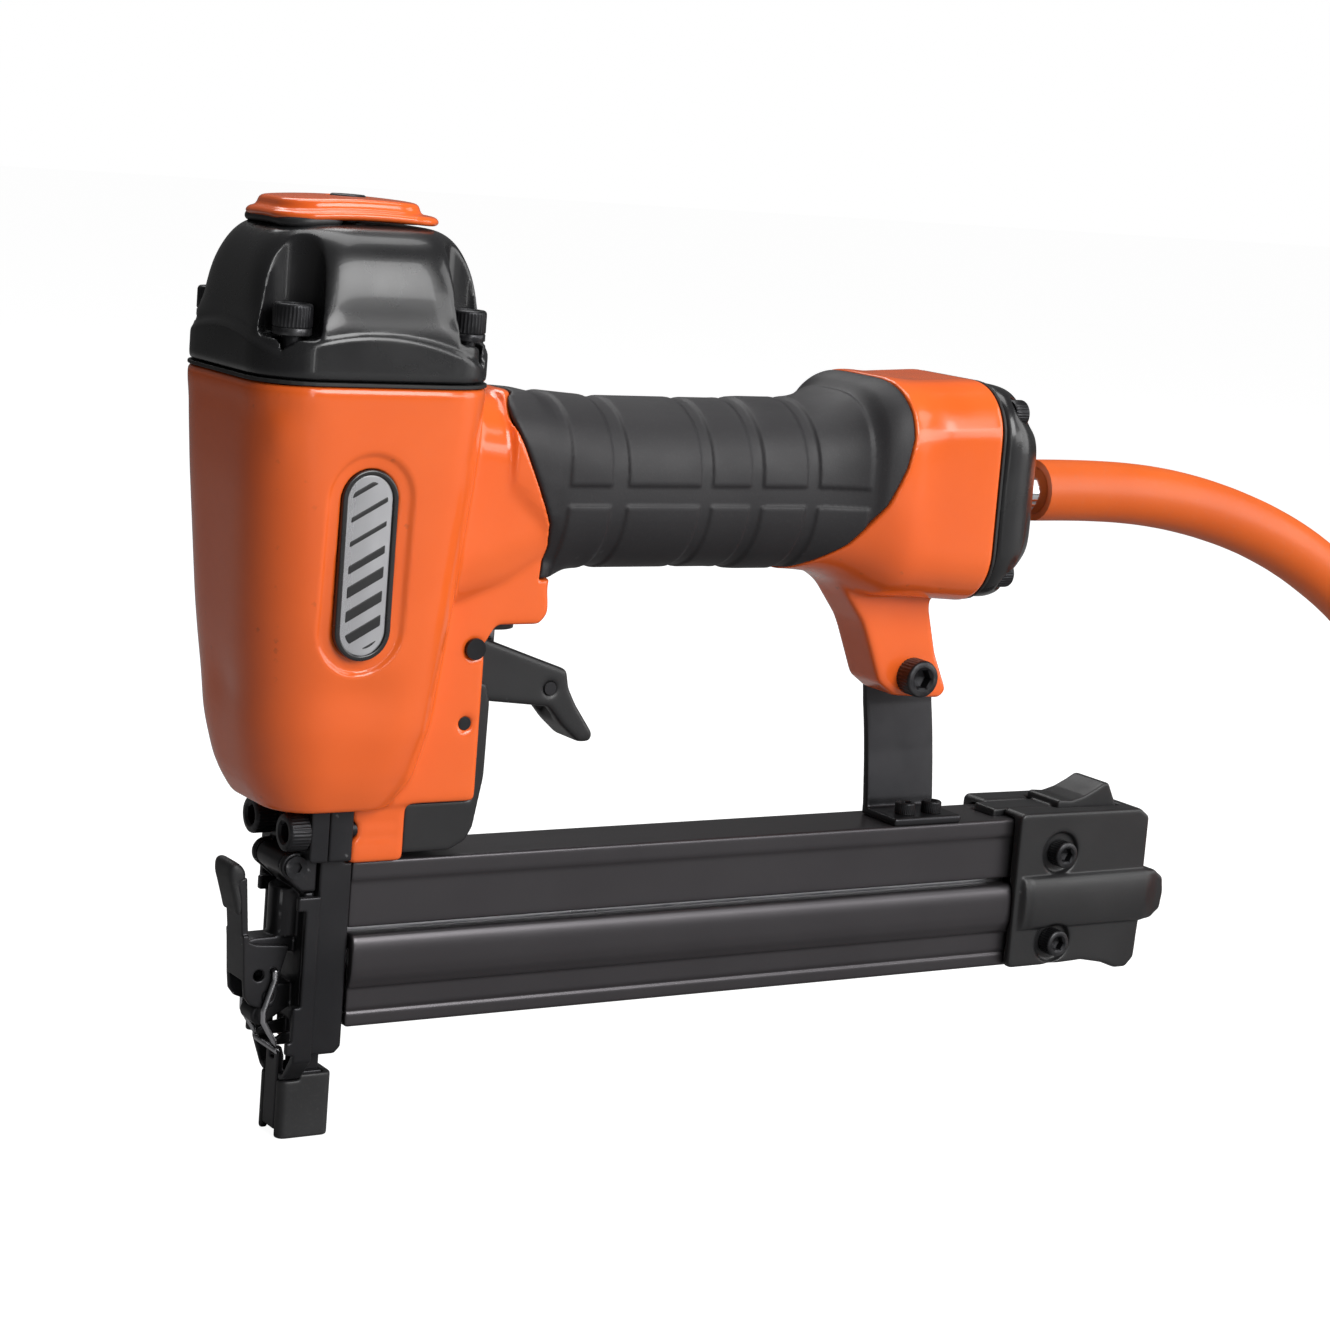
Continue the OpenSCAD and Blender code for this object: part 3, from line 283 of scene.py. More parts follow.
def add_piece(name, mesh, body, slot, stands_for=()):
    """Links a mesh as a piece that rides on a body and takes a slot's finish."""
    piece = bpy.data.objects.new(name, mesh)
    bpy.context.scene.collection.objects.link(piece)
    mesh.materials.clear()
    mesh.materials.append(materials[slot])
    mesh.shade_smooth()
    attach(piece, body)
    if stands_for:
        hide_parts(*stands_for)
    return piece


def node_surface(node):
    """Vertices in mm and triangles of a CAD node."""
    mesh = nodes[node].data
    mesh.calc_loop_triangles()
    points = np.empty(len(mesh.vertices) * 3, np.float32)
    mesh.vertices.foreach_get("co", points)
    triangles = np.empty(len(mesh.loop_triangles) * 3, np.int32)
    mesh.loop_triangles.foreach_get("vertices", triangles)
    return points.reshape(-1, 3) / MM, triangles.reshape(-1, 3).astype(np.uint32)


class Field:
    """Signed distance in mm on a regular grid, negative inside.

    Fields of one voxel size share one lattice, so they can be joined.
    """

    def __init__(self, values, low, voxel):
        self.values, self.low, self.voxel = values, np.array(low, int), voxel

    @classmethod
    def of(cls, node, voxel, reach):
        """The field round a CAD node, true to reach mm from its surface."""
        points, faces = node_surface(node)
        return cls.round_faces(points, {"triangles": faces}, voxel, reach)

    @classmethod
    def round_faces(cls, points, faces, voxel, reach):
        """The field round a closed mesh; faces names its kind, triangles or quads."""
        width = math.ceil(reach / voxel) + 2
        grid = openvdb.FloatGrid.createLevelSetFromPolygons(
            points, transform=openvdb.createLinearTransform(voxel), halfWidth=width, **faces
        )
        low = np.floor(points.min(0) / voxel).astype(int) - width - 2
        high = np.ceil(points.max(0) / voxel).astype(int) + width + 2
        values = np.empty(high - low + 1, np.float32)
        grid.copyToArray(values, ijk=tuple(int(i) for i in low))
        return cls(values, low, voxel)

    @classmethod
    def blank(cls, low, high, voxel):
        """An empty grid between two corners in mm."""
        first = np.floor(np.array(low) / voxel).astype(int) - 3
        last = np.ceil(np.array(high) / voxel).astype(int) + 3
        return cls(np.full(last - first + 1, 9.0, np.float32), first, voxel)

    def axes(self):
        """Coordinates in mm along the three axes, shaped to broadcast."""
        steps = [
            (first + np.arange(count)) * self.voxel
            for first, count in zip(self.low, self.values.shape)
        ]
        return np.ix_(*[s.astype(np.float32) for s in steps])

    def blurred(self, soft):
        """The values with edges and inner corners rounded by about soft mm; flat faces stay put."""
        width = soft / self.voxel
        reach = math.ceil(2.5 * width)
        offsets = np.arange(-reach, reach + 1)
        weights = np.exp(-0.5 * (offsets / width) ** 2)
        weights /= weights.sum()
        values = self.values
        for axis in range(3):
            values = sum(
                np.float32(weight) * np.roll(values, offset, axis)
                for offset, weight in zip(offsets, weights)
            )
        return values

    def closed(self, radius):
        """The same solid with its hollows under about radius mm filled."""
        points, quads = self.surface(radius)
        outer = Field.round_faces(points, {"quads": quads}, self.voxel, radius + 4)
        start = self.low - outer.low
        cut = tuple(slice(a, a + n) for a, n in zip(start, self.values.shape))
        return Field(outer.values[cut] + np.float32(radius), self.low, self.voxel)

    def joined(self, other):
        """Union with another field on the same lattice, on this field's grid."""
        values = self.values.copy()
        start = other.low - self.low
        first = np.maximum(start, 0)
        last = np.minimum(start + other.values.shape, self.values.shape)
        mine = tuple(slice(a, b) for a, b in zip(first, last))
        theirs = tuple(slice(a, b) for a, b in zip(first - start, last - start))
        values[mine] = np.minimum(values[mine], other.values[theirs])
        return Field(values, self.low, self.voxel)

    def surface(self, level=0.0):
        """Points in mm and quads where the field has that value."""
        grid = openvdb.FloatGrid(float(np.abs(self.values).max()))
        grid.copyFromArray(self.values, ijk=tuple(int(i) for i in self.low))
        grid.transform = openvdb.createLinearTransform(self.voxel)
        return grid.convertToQuads(level)

    def mesh(self, name):
        """The surface as a Blender mesh in metres."""
        points, quads = self.surface()
        mesh = bpy.data.meshes.new(name)
        mesh.from_pydata((points * MM).tolist(), [], quads[:, ::-1].tolist())
        mesh.update()
        return mesh


def step(values, start, end):
    """0 below start, 1 above end, smooth between; start may be above end."""
    t = np.clip((values - start) / (end - start), 0, 1)
    return t * t * (3 - 2 * t)


def capsule(x, z, low, high, radius):
    """Distance to an upright stadium in the X Z plane, from its ends' centres (x, z)."""
    along = np.clip(z, low[1], high[1])
    return np.hypot(x - low[0], z - along) - radius


def smooth_max(a, b, blend=0.4):
    """Maximum of two fields with a rounded join."""
    mix = np.clip(0.5 + 0.5 * (a - b) / blend, 0, 1)
    return b + (a - b) * mix + blend * mix * (1 - mix)


def show_field(field, name, node):
    """A field as a piece that stands for a CAD node."""
    return add_piece(name, field.mesh(name), body_of[node], slot_of[node], [node])


def cast(node, voxel, soft):
    """A CAD node's own shape with the rounded edges and fillets of a casting or moulding."""
    field = Field.of(node, voxel, 3 * soft)
    field.values = field.blurred(soft)
    return show_field(field, node + "_cast", node)


def domed(node, voxel, soft, dome, hollow, fade=None):
    """As cast, with the outer form rounded by dome mm.

    Hollows narrower than twice hollow mm stay crisp. fade (start, end) is the height over which
    the rounding sets in.
    """
    field = Field.of(node, voxel, hollow + 4)
    outer = field.closed(hollow)
    shape = outer.blurred(dome)
    if fade:
        share = step(field.axes()[2], *fade)
        shape = shape * share + outer.blurred(soft) * (1 - share)
    field.values = smooth_max(field.blurred(soft), shape + 0.2, 0.3)
    return field


def solids(node):
    """The box of each separate solid in a CAD node, as (low, high) vectors in metres."""
    mesh = bmesh.new()
    mesh.from_mesh(nodes[node].data)
    bmesh.ops.remove_doubles(mesh, verts=mesh.verts, dist=1e-6)
    left, boxes = set(mesh.verts), []
    while left:
        group, front = set(), [left.pop()]
        while front:
            vert = front.pop()
            group.add(vert)
            for edge in vert.link_edges:
                other = edge.other_vert(vert)
                if other in left:
                    left.remove(other)
                    front.append(other)
        places = np.array([v.co[:] for v in group])
        boxes.append((Vector(places.min(0)), Vector(places.max(0))))
    mesh.free()
    return sorted(boxes, key=lambda box: tuple(round(x, 4) for x in box[0]))


def ring_mesh(name, rings, place, loops):
    """A closed solid from rings of loops points, both ends filled; place is its matrix."""
    mesh = bmesh.new()
    rows = [[mesh.verts.new(place @ Vector(p)) for p in ring] for ring in rings]
    for low, high in zip(rows, rows[1:]):
        for k in range(loops):
            mesh.faces.new((low[k], low[(k + 1) % loops], high[(k + 1) % loops], high[k]))
    mesh.faces.new(rows[0][::-1])
    mesh.faces.new(rows[-1])
    bmesh.ops.recalc_face_normals(mesh, faces=mesh.faces)
    data = bpy.data.meshes.new(name)
    mesh.to_mesh(data)
    mesh.free()
    return data


def round_ring(radius, z, loops, ripple=0.0, sides=0):
    """Points at one height; ripple knurls the ring, sides makes it a polygon across that radius."""
    points = []
    for k in range(loops):
        angle = 2 * math.pi * k / loops
        r = radius - ripple * (0.5 - 0.5 * math.cos(SCREW_TEETH * angle))
        if sides:
            part = math.pi / sides
            r = radius * math.cos(part) / math.cos((angle % (2 * part)) - part)
        points.append((r * math.cos(angle), r * math.sin(angle), z))
    return points


def facing(point, direction):
    """Matrix that puts +Z along direction at point."""
    turn = Vector((0, 0, 1)).rotation_difference(Vector(direction))
    return Matrix.Translation(point) @ turn.to_matrix().to_4x4()


def head_rings(radius, height, shank, knurl):
    """A cap screw from its shank's end up over the knurled head and down into the hex socket."""
    chamfer, key = radius * 0.12, radius * 0.5

    def plain(r, z):
        return round_ring(r, z, SCREW_LOOPS)

    def rough(r, z):
        return round_ring(r, z, SCREW_LOOPS, ripple=radius * knurl)

    def hexed(r, z):
        return round_ring(r, z, SCREW_LOOPS, sides=6)

    return [
        plain(radius * 0.5, -shank),
        plain(radius * 0.5, -height - 0.02 * MM),
        plain(radius * 0.93, -height),
        rough(radius, -height + chamfer * 0.7),
        rough(radius, -height * 0.5),
        rough(radius, -chamfer * 1.6),
        plain(radius * 0.985, -chamfer),
        plain(radius * 0.95, -chamfer * 0.4),
        plain(radius * 0.88, 0.0),
        plain(key * 1.32, 0.0),
        plain(key * 1.22, -0.04 * radius),
        hexed(key * 1.13, -0.12 * radius),
        hexed(key * 1.1, -height * 0.55),
        hexed(key * 0.4, -height * 0.68),
    ]


def crisp(piece, angle):
    """Smooth shading that keeps edges sharper than angle degrees."""
    piece.data.set_sharp_from_angle(angle=math.radians(angle))


def add_screw(node, number, top, axis, size, height=HEAD_HEIGHT, knurl=HEAD_KNURL):
    """One detailed cap screw; size is (head radius, length), height the head's in head radii."""
    radius, length = size
    name = f"{node}_{number}"
    rings = head_rings(radius, radius * height, length, knurl)
    mesh = ring_mesh(name, rings, facing(top, axis), SCREW_LOOPS)
    crisp(add_piece(name, mesh, body_of[node], slot_of[node], [node]), 35)


def socket_screws(node, main, side, sink=0.0, **head):
    """Cap screws in place of a CAD node, their heads on one side along the main axis, 0 to 2."""
    axis = Vector((0, 0, 0))
    axis[main] = side
    for number, (low, high) in enumerate(solids(node), 1):
        size, top = high - low, (low + high) / 2
        radius = max(size[k] for k in range(3) if k != main) / 2
        top[main] = high[main] - sink * MM if side > 0 else low[main]
        add_screw(node, number, top, axis, (radius, min(size[main] * 0.98, radius * 4)), **head)


def turned(name, node, profile, point, direction, body, slot):
    """A turned piece from (radius, distance) pairs in mm along direction from point."""
    rings = [round_ring(r * MM, z * MM, TURNED_LOOPS) for r, z in profile]
    mesh = ring_mesh(name, rings, facing(point, direction), TURNED_LOOPS)
    piece = add_piece(name, mesh, body, slot, [node])
    crisp(piece, 40)
    return piece


def bevel_node(node, width):
    """Keeps a CAD node and breaks its sharp edges."""
    piece = nodes[node]
    weld = piece.modifiers.new("weld", "WELD")
    weld.merge_threshold = 1e-6
    bevel = piece.modifiers.new("bevel", "BEVEL")
    bevel.width = width * MM
    bevel.segments = 2
    bevel.limit_method = "ANGLE"
    bevel.angle_limit = math.radians(32)
    bevel.use_clamp_overlap = True
    bevel.harden_normals = True


# ---------------------------------------------------------------- hose

HOSE_D = 0.0155
ROUTE = [
    (195, 0, 146.5), (205, 0, 146.5), (215, 0, 146.3), (225, 0, 145.8), (235, 0, 144.8),
    (245, 0, 143.2),
    (255, 0, 141), (265, 0, 138.2), (275, 0, 134.7), (285, 0, 130.4), (294, 0.4, 125.8),
    (303, 0.8, 120.6), (312, 1.5, 114.6), (321, 2.3, 107.8), (330, 3.2, 100), (338, 4.3, 91.8),
    (345.5, 5.6, 83), (352.5, 7, 73.8), (359.3, 8.6, 64.4), (366, 10.3, 55), (372.8, 12, 45.8),
    (380, 13.8, 37), (387.8, 15.5, 28.8), (396.4, 17, 21.4), (406, 18.2, 15.2), (416.6, 19, 10.8),
    (426, 19.4, 8.6),
]
COIL_CENTRE, COIL_D, COIL_TURNS = (436, -58), 155, 2.5
COIL_STEPS = 24  # points in each turn
PLUG = [
    (4, 0.5), (8.4, 0.5), (8.4, 2), (8.1, 2.6), (8.5, 3.2), (8.5, 22.6), (8.1, 23.4), (7.5, 24),
    (7.5, 24.6), (9.1, 24.8), (9.5, 25.4), (9.5, 47.2), (9.1, 48), (5.2, 48.2), (5.2, 49.8),
    (5.9, 50), (6, 50.4), (6, 55), (5.6, 55.6), (4.8, 56), (4.8, 58), (5.6, 58.6), (6, 59.4),
    (6, 60.6), (5.2, 62), (3, 62),
]


def hose_points():
    """The whole centreline in metres: the listed route, then the coil's rising turns."""
    points = [Vector(p) * MM for p in ROUTE]
    floor_z = HOSE_D / 2
    for k in range(int(COIL_TURNS * COIL_STEPS) + 1):
        turn = k / COIL_STEPS
        rise = max(0.0, turn - 0.5) * HOSE_D  # the first half turn lies flat
        angle = math.pi / 2 - 2 * math.pi * turn
        x = COIL_CENTRE[0] * MM + COIL_D / 2 * MM * math.cos(angle)
        y = COIL_CENTRE[1] * MM + COIL_D / 2 * MM * math.sin(angle)
        points.append(Vector((x, y, floor_z + rise)))
    return points


def make_hose():
    """One curve for the whole hose, with the plug on its free end."""
    line = bpy.data.curves.new("air_hose_line", "CURVE")
    line.dimensions = "3D"
    line.bevel_depth = HOSE_D / 2
    line.bevel_resolution = 10
    line.resolution_u = 6
    line.use_fill_caps = True
    points = hose_points()
    spline = line.splines.new("BEZIER")
    spline.bezier_points.add(len(points) - 1)
    for knot, place in zip(spline.bezier_points, points):
        knot.co = place
        knot.handle_left_type = knot.handle_right_type = "AUTO"
    hose = bpy.data.objects.new("hose", line)
    bpy.context.scene.collection.objects.link(hose)
    line.materials.append(materials["hose_orange"])
    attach(hose, "root")
    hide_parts("air_hose", "hose_coil")
    end = points[-1]
    plug = turned(
        "hose_plug", "hose_connector", PLUG,
        Vector((COIL_CENTRE[0] * MM, end.y, end.z)), (-1, 0, 0), "root", "brass",
    )


# ---------------------------------------------------------------- the tool's own pieces


# The rubber's ends on the side view, as (height, x): it wraps the castings between these two lines.
GRIP_FRONT = [(128, 47.6), (135, 48.3), (140.5, 47.3), (152, 41.7), (163, 36.5), (172, 31)]
GRIP_REAR = [
    (127, 116), (129.2, 119), (131, 121.5), (135.6, 127), (145.5, 134),
    (154.6, 138), (161.5, 139.6), (167.4, 139.6), (176, 138.5),
]
GRIP_BAND = (144.9, 149.0)
GRIP_PADS = [(50.5, 62.0), (65.7, 85.6), (88.2, 99.3), (101.8, 114.6), (117.2, 130.5)]
CAP_JOINT, CAP_TOP, TAIL_FRONT = 168, 205.0, 192.0
BADGE_LOW, BADGE_HIGH = (-2.5, 119.0), (-2.5, 147.0)  # ends' centres, as (x, z)
BADGE_BED = 23.6  # the seat's distance from the middle plane
BADGE_VOXEL = 0.16


def end_line(z, points):
    """The x of a line given as (height, x) points, at each height."""
    heights, places = zip(*points)
    return np.interp(z, heights, places).astype(np.float32)


def pad_recess(x, z):
    """1 between the grip's raised pads, 0 on them."""
    pads = 0.0
    for start, end in GRIP_PADS:
        pads = pads + step(x, start, start + 0.7) * step(x, end, end - 0.7)
    rows = step(z, GRIP_BAND[1], GRIP_BAND[1] + 0.6) + step(z, GRIP_BAND[0], GRIP_BAND[0] - 0.6)
    return 1 - pads * rows


def make_body_and_grip():
    """The body casting and the rubber over its handle, flush because one outer form gives both."""
    body = Field.of("body_housing", 0.45, 9)
    whole = body.joined(Field.of("rubber_grip", 0.45, 9)).joined(Field.of("badge_plates", 0.45, 4))

    # what is screwed in fills its own bore while the form is rounded
    screws = Field.of("cap_screws", 0.45, 4)
    screws.values = np.maximum(screws.values, screws.axes()[2] - CAP_JOINT)
    bolts = Field.of("nose_screws", 0.45, 4)
    bolts.values = np.maximum(bolts.values, 6.5 - bolts.axes()[0])
    whole = whole.joined(screws).joined(bolts)
    whole = whole.joined(Field(bolts.values, bolts.low + (5, 0, 0), bolts.voxel))

    # the barrel, the handle and its flare are smoother than the rest
    x, y, z = whole.axes()
    fine = whole.blurred(0.75)
    filled = whole.closed(7)
    barrel = step(x, 20, 11) * step(z, CAP_JOINT, CAP_JOINT - 6) * step(z, 79, 84)
    handle = step(x, 44, 56) * step(x, 152, 140) * step(z, 121, 127)
    flare = step(x, 96, 106) * step(x, 150, 140) * step(z, 121, 127)
    share = np.maximum(barrel, handle)
    form = fine + (filled.blurred(2.6) - fine) * share
    form = form + (filled.blurred(3.6) - 0.8 - form) * flare

    # a soft dish round the badge, and its crisp seat
    around = capsule(x, z, BADGE_LOW, BADGE_HIGH, 0)
    side = step(np.abs(y), 18, 22)
    form = form + 0.7 * step(around, 10.6, 9.0) * side
    seat = np.maximum(around - 6.65, BADGE_BED - 0.05 - np.abs(y))
    form = smooth_max(form, -seat, 0.35)

    # the rubber lies over the core between its two end lines, and a fine groove runs round it
    core = form + 3.2
    dip = 7 * step(np.abs(y), 15, 5) * step(z, 158, 164)
    front = (end_line(z, GRIP_FRONT) + dip - x) * 0.9
    rear = (x - end_line(z, GRIP_REAR)) * 0.85
    sleeve = np.maximum(np.maximum(front, rear), -core)
    trigger_room = np.maximum(np.maximum(x - 52, z - 127.5), np.abs(y) - 30)
    sleeve = np.maximum(sleeve, -trigger_room)
    body_part = smooth_max(form, 0.28 - sleeve, 0.5)
    recess = pad_recess(x, z) * step(x, 44, 49) * step(x, 134, 131)
    rubber = smooth_max(form + 0.42 * recess, sleeve, 0.6)
    for values, name, node in (
        (body_part, "body_casting", "body_housing"), (rubber, "grip_sleeve", "rubber_grip")
    ):
        show_field(Field(values, whole.low, whole.voxel), name, node)


def make_cap():
    """The domed cylinder cap, with a flange band whose upper edge arches on each side."""
    field = domed("cylinder_cap", 0.45, 0.6, 3.2, 8, (180, 187))
    x, y, z = field.axes()
    across = np.where(np.abs(y) * 28 > np.abs(x) * 26.5, x + 3, y)
    arch = 181.2 - 0.009 * across**2
    field.values = field.values + 0.6 * step(z, arch - 0.1, arch + 1.3)
    show_field(field, "cap_casting", "cylinder_cap")


def rounded_slab(x, y, z, low, high, corner):
    """Distance to a box with rounded upright corners."""
    dx = np.abs(x - (low[0] + high[0]) / 2) - (high[0] - low[0]) / 2 + corner
    dy = np.abs(y - (low[1] + high[1]) / 2) - (high[1] - low[1]) / 2 + corner
    outside = np.hypot(np.maximum(dx, 0), np.maximum(dy, 0))
    flat = outside + np.minimum(np.maximum(dx, dy), 0) - corner
    return smooth_max(flat, np.maximum(low[2] - z, z - high[2]), 1.6)


def make_deflector():
    """The turning exhaust deflector: a soft slab with a raised middle and drooping ends.

    A black block under its front edge is painted shade, filling the open exhaust outlet where only
    shadow would show.
    """
    field = Field.of("exhaust_deflector", 0.3, 4)
    x, y, height = field.axes()
    z = height + 0.003 * (x**2 + y**2) - 0.25
    brim = rounded_slab(x, y, z, (-20.5, -14, CAP_TOP + 0.2), (18.5, 14, CAP_TOP + 2.2), 8.5)
    crown = rounded_slab(x, y, z, (-18.5, -11.6, CAP_TOP + 0.2), (14.5, 11.6, CAP_TOP + 4.4), 7.5)
    shape = -smooth_max(-brim, -crown, 1.5)
    seat = np.maximum(np.hypot(x, y) - 4.6, CAP_TOP + 3.2 - height)
    field.values = smooth_max(shape, -seat, 0.4).astype(np.float32)
    show_field(field, "deflector_casting", "exhaust_deflector")
    # painted shade: a black block standing in for the shadow inside the open front
    shade_slab = rounded_slab(x, y, z, (-19.9, -13.6, CAP_TOP - 1.2), (-5, 13.6, CAP_TOP + 1.3), 6)
    shade_field = Field(shade_slab.astype(np.float32), field.low, field.voxel)
    add_piece("deflector_mouth_shade", shade_field.mesh("deflector_mouth_shade"), "deflector", "black_rubber")


def make_strap():
    """The strap behind the rear leg, its upper end leaning forward."""
    strap = cast("support_bracket", 0.25, 0.35)
    for vert in strap.data.vertices:
        lean = max(0.0, vert.co.z - 0.075) / 0.03
        vert.co.x -= 2.6 * MM * lean**2


def make_castings():
    """The painted castings and the strap."""
    make_body_and_grip()
    make_cap()
    show_field(domed("end_cap", 0.4, 0.6, 2.2, 5), "end_cap_casting", "end_cap")
    make_deflector()
    make_strap()


def badge_field(radius, inner, top, side, soft):
    """A stadium plate, or a ring where inner is given, facing -Y or +Y as side says."""
    first, last = sorted((side * BADGE_BED, side * top))
    low = (BADGE_LOW[0] - 8, first - 1, BADGE_LOW[1] - 8)
    high = (BADGE_HIGH[0] + 8, last + 1, BADGE_HIGH[1] + 8)
    field = Field.blank(low, high, BADGE_VOXEL)
    x, y, z = field.axes()
    outline = capsule(x, z, BADGE_LOW, BADGE_HIGH, radius)
    if inner:
        outline = np.maximum(outline, -capsule(x, z, BADGE_LOW, BADGE_HIGH, inner))
    depth = np.maximum(y * side - top, BADGE_BED - y * side)
    field.values = smooth_max(outline, depth, soft).astype(np.float32)
    return field


def make_badges():
    """On each side a black-rimmed satin plate with plain slanted bars in place of a mark."""
    for side, end in ((-1, "near"), (1, "far")):
        rim = badge_field(6.6, 5.3, 25.4, side, 0.5)
        plate = badge_field(5.5, 0, 24.9, side, 0.15)
        bars = Field.blank((-9, side * 25 - 1, 112), (4, side * 25 + 1, 154), BADGE_VOXEL)
        x, y, z = bars.axes()
        slant = (z - 134.6) - 0.55 * (x + 2.5)
        stripe = np.abs((slant + 2.6) % 5.2 - 2.6) - 1.25
        stripe = np.where(slant < 0, stripe, stripe + 0.65)
        inside = capsule(x, z, (-2.5, 119.2), (-2.5, 146.8), 4.2)
        face = np.abs(y * side - 24.85) - 0.15
        bars.values = smooth_max(smooth_max(stripe, inside, 0.3), face, 0.1).astype(np.float32)
        for part, field, slot in (
            ("rim", rim, "black_paint"), ("plate", plate, "silver"), ("bars", bars, "black_plastic")
        ):
            name = f"badge_{part}_{end}"
            add_piece(name, field.mesh(name), "root", slot, ["badge_plates"])


def make_tail_cap():
    """The magazine's end cap, whose middle band bulges on both sides."""
    field = Field.of("tail_cap", 0.3, 5)
    x, y, z = field.axes()
    values = field.blurred(0.42)
    across = np.sqrt(np.clip(1 - ((z - 42.7) / 6.9) ** 2, 0, 1))
    side = step(np.abs(y), 7, 9)
    front = TAIL_FRONT + 1.2
    values = values - 1.7 * across * step(x, front, front + 1.5) * step(x, 239, 233) * side
    field.values = values.astype(np.float32)
    show_field(field, "tail_cap_cast", "tail_cap")


def make_rails():
    """The two magazine channels, with a groove between them and a bulge along the lower one."""
    fixed = Field.of("fixed_magazine", 0.4, 2)
    _, y, z = fixed.axes()
    groove = np.maximum(z - 48.4, 8.6 - np.abs(y))
    fixed.values = smooth_max(fixed.blurred(0.3), -groove, 0.3).astype(np.float32)
    show_field(fixed, "fixed_magazine_rail", "fixed_magazine")
    slide = Field.of("movable_magazine", 0.4, 3)
    _, y, z = slide.axes()
    bulge = np.sqrt(np.clip(1 - ((z - 41.2) / 6.2) ** 2, 0, 1))
    outer = np.abs(y) - (9.4 + 1.75 * bulge)
    shape = smooth_max(slide.blurred(0.3), outer, 0.3)
    line = np.maximum(np.abs(z - 29.6) - 0.35, 9.0 - np.abs(y))
    slide.values = smooth_max(shape, -line, 0.2).astype(np.float32)
    show_field(slide, "movable_magazine_rail", "movable_magazine")


def make_mouldings():
    """The moulded pieces and the magazine."""
    cast("trigger", 0.22, 0.7)
    cast("safety_guide_cover", 0.3, 0.45)
    make_tail_cap()
    make_rails()
    cast("latch_button", 0.2, 0.35)
    cast("no_mar_pad", 0.16, 0.3)
    cast("latch_grip", 0.16, 0.8)


def make_guide_base():
    """The nose casting, its driver channel kept at full size through the rounding."""
    field = Field.of("guide_base", 0.25, 1)
    x, y, _ = field.axes()
    blade, _ = node_surface("driver_blade")
    low, high = blade.min(0) - 0.2, blade.max(0) + 0.2
    along = np.maximum(low[0] - x, x - high[0])
    across = np.maximum(low[1] - y, y - high[1])
    channel = np.maximum(along, across)
    field.values = np.maximum(field.blurred(0.3), -channel).astype(np.float32)
    show_field(field, "guide_base_cast", "guide_base")


def make_nose():
    """The guide with its door, latch and contact arm."""
    make_guide_base()
    for node, voxel, soft in (
        ("front_plate", 0.2, 0.25),
        ("guide_door", 0.2, 0.28),
        ("latch_lever", 0.13, 0.18),
        ("contact_arm", 0.2, 0.22),
        ("wire_bail", 0.12, 0.12),
    ):
        cast(node, voxel, soft)


def make_fasteners():
    """Every cap screw, its head turned to where it is driven from."""
    socket_screws("cap_screws", 2, 1)
    socket_screws("nose_screws", 0, -1)
    socket_screws("bracket_screw", 1, -1)
    socket_screws("bracket_foot_screws", 2, 1)
    socket_screws("end_cap_screws", 0, 1)
    socket_screws("deflector_screw", 2, 1, height=0.6, knurl=0, sink=0.9)
    for number, (low, high) in enumerate(solids("tail_cap_screws"), 1):
        side = -1 if low.y + high.y < 0 else 1
        top = (low + high) / 2
        top.y = low.y if side < 0 else high.y
        size = ((high.x - low.x) / 2, high.y - low.y)
        add_screw("tail_cap_screws", number, top, (0, side, 0), size)


def keep_cad_nodes():
    """The nodes whose own shape is right: edges broken, and the slot's material."""
    for node, piece in nodes.items():
        piece.data.materials.clear()
        piece.data.materials.append(materials[slot_of[node]])
        if piece.hide_render:
            continue
        if node.endswith("spring"):
            piece.modifiers.new("weld", "WELD").merge_threshold = 1e-6
            piece.modifiers.new("round", "SUBSURF").render_levels = 1
        else:
            bevel_node(node, 0.3 if "magazine" in node else 0.2)


# ---------------------------------------------------------------- floor and light


def area_light(name, place, target, size, power):
    """A rectangular lamp at place, size (width, height) in metres and power in watts."""
    light = bpy.data.lights.new(name, "AREA")
    light.shape = "RECTANGLE"
    light.size, light.size_y = size
    light.energy = power
    lamp = bpy.data.objects.new(name, light)
    bpy.context.scene.collection.objects.link(lamp)
    lamp.location = place
    lamp.rotation_mode = "QUATERNION"
    lamp.rotation_quaternion = (Vector(target) - Vector(place)).to_track_quat("-Z", "Y")


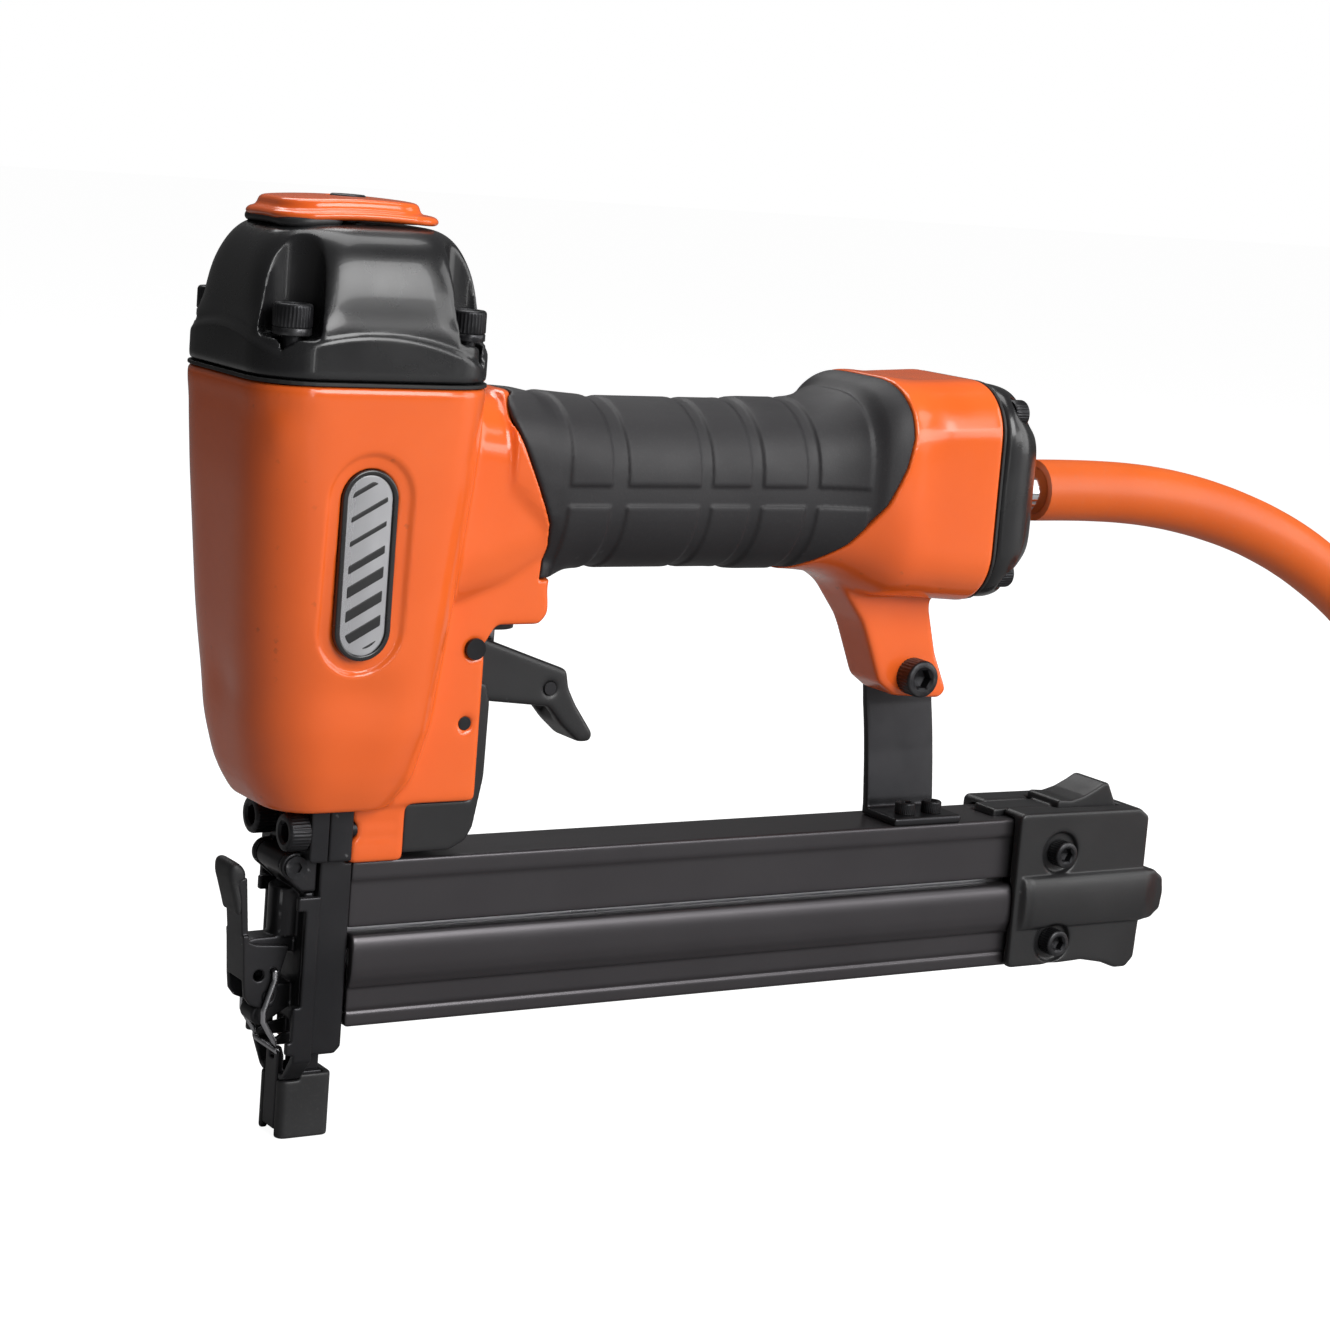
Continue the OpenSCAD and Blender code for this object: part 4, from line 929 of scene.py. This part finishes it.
def make_world(strength):
    """A white surround with that light, pure white where the camera looks straight at it."""
    world = bpy.data.worlds.new("studio")
    world.use_nodes = True
    tree = world.node_tree
    ambient = tree.nodes["Background"]
    seen = tree.nodes.new("ShaderNodeBackground")
    for background, power in ((ambient, strength), (seen, 1.0)):
        background.inputs["Color"].default_value = (1, 1, 1, 1)
        background.inputs["Strength"].default_value = power
    mix = tree.nodes.new("ShaderNodeMixShader")
    straight = tree.nodes.new("ShaderNodeLightPath").outputs["Is Camera Ray"]
    tree.links.new(straight, mix.inputs[0])
    tree.links.new(ambient.outputs[0], mix.inputs[1])
    tree.links.new(seen.outputs[0], mix.inputs[2])
    tree.links.new(mix.outputs[0], tree.nodes["World Output"].inputs["Surface"])
    bpy.context.scene.world = world


def make_floor():
    """White paper that glows just enough, for the camera alone, to stay white round its shadows."""
    mesh = bpy.data.meshes.new("floor")
    corners = [(-6, -6, 0), (6, -6, 0), (6, 6, 0), (-6, 6, 0)]
    mesh.from_pydata(corners, [], [(0, 1, 2, 3)])
    floor = bpy.data.objects.new("floor", mesh)
    bpy.context.scene.collection.objects.link(floor)
    shader = Shader("floor")
    surface = shader.surface
    surface.inputs["Base Color"].default_value = (0.3, 0.3, 0.3, 1)
    surface.inputs["Roughness"].default_value = 0.7
    surface.inputs["Specular IOR Level"].default_value = 0.1
    seen = shader.add("ShaderNodeLightPath").outputs["Is Camera Ray"]
    surface.inputs["Emission Color"].default_value = (1, 1, 1, 1)
    shader.link(shader.spread(seen, 0.0, 0.95, 0.0, 1.0), surface, "Emission Strength")
    mesh.materials.append(shader.material)


def make_studio():
    """The floor, the surround and six soft lamps, the key in front and above."""
    make_floor()
    make_world(0.1)
    bpy.context.scene.view_settings.view_transform = "Standard"
    middle = (0.08, 0, 0.11)
    area_light("key", (0.42, -1.27, 0.85), middle, (0.8, 0.9), 17.5)
    area_light("front strip", (-0.08, -1.35, 0.25), middle, (0.07, 1.0), 1.2)
    area_light("low right", (1.15, -1.15, 0.4), (0.15, 0, 0.05), (0.8, 0.35), 3)
    area_light("right", (1.2, -0.45, 0.5), middle, (0.6, 0.9), 4)
    area_light("top", (0.15, 0.1, 1.2), middle, (0.9, 0.6), 6)
    area_light("back", (0.2, 0.8, 1.05), middle, (0.7, 0.5), 4)


make_camera()
materials = make_materials()
make_hose()
make_castings()
make_badges()
make_mouldings()
make_nose()
make_fasteners()
keep_cad_nodes()
make_studio()
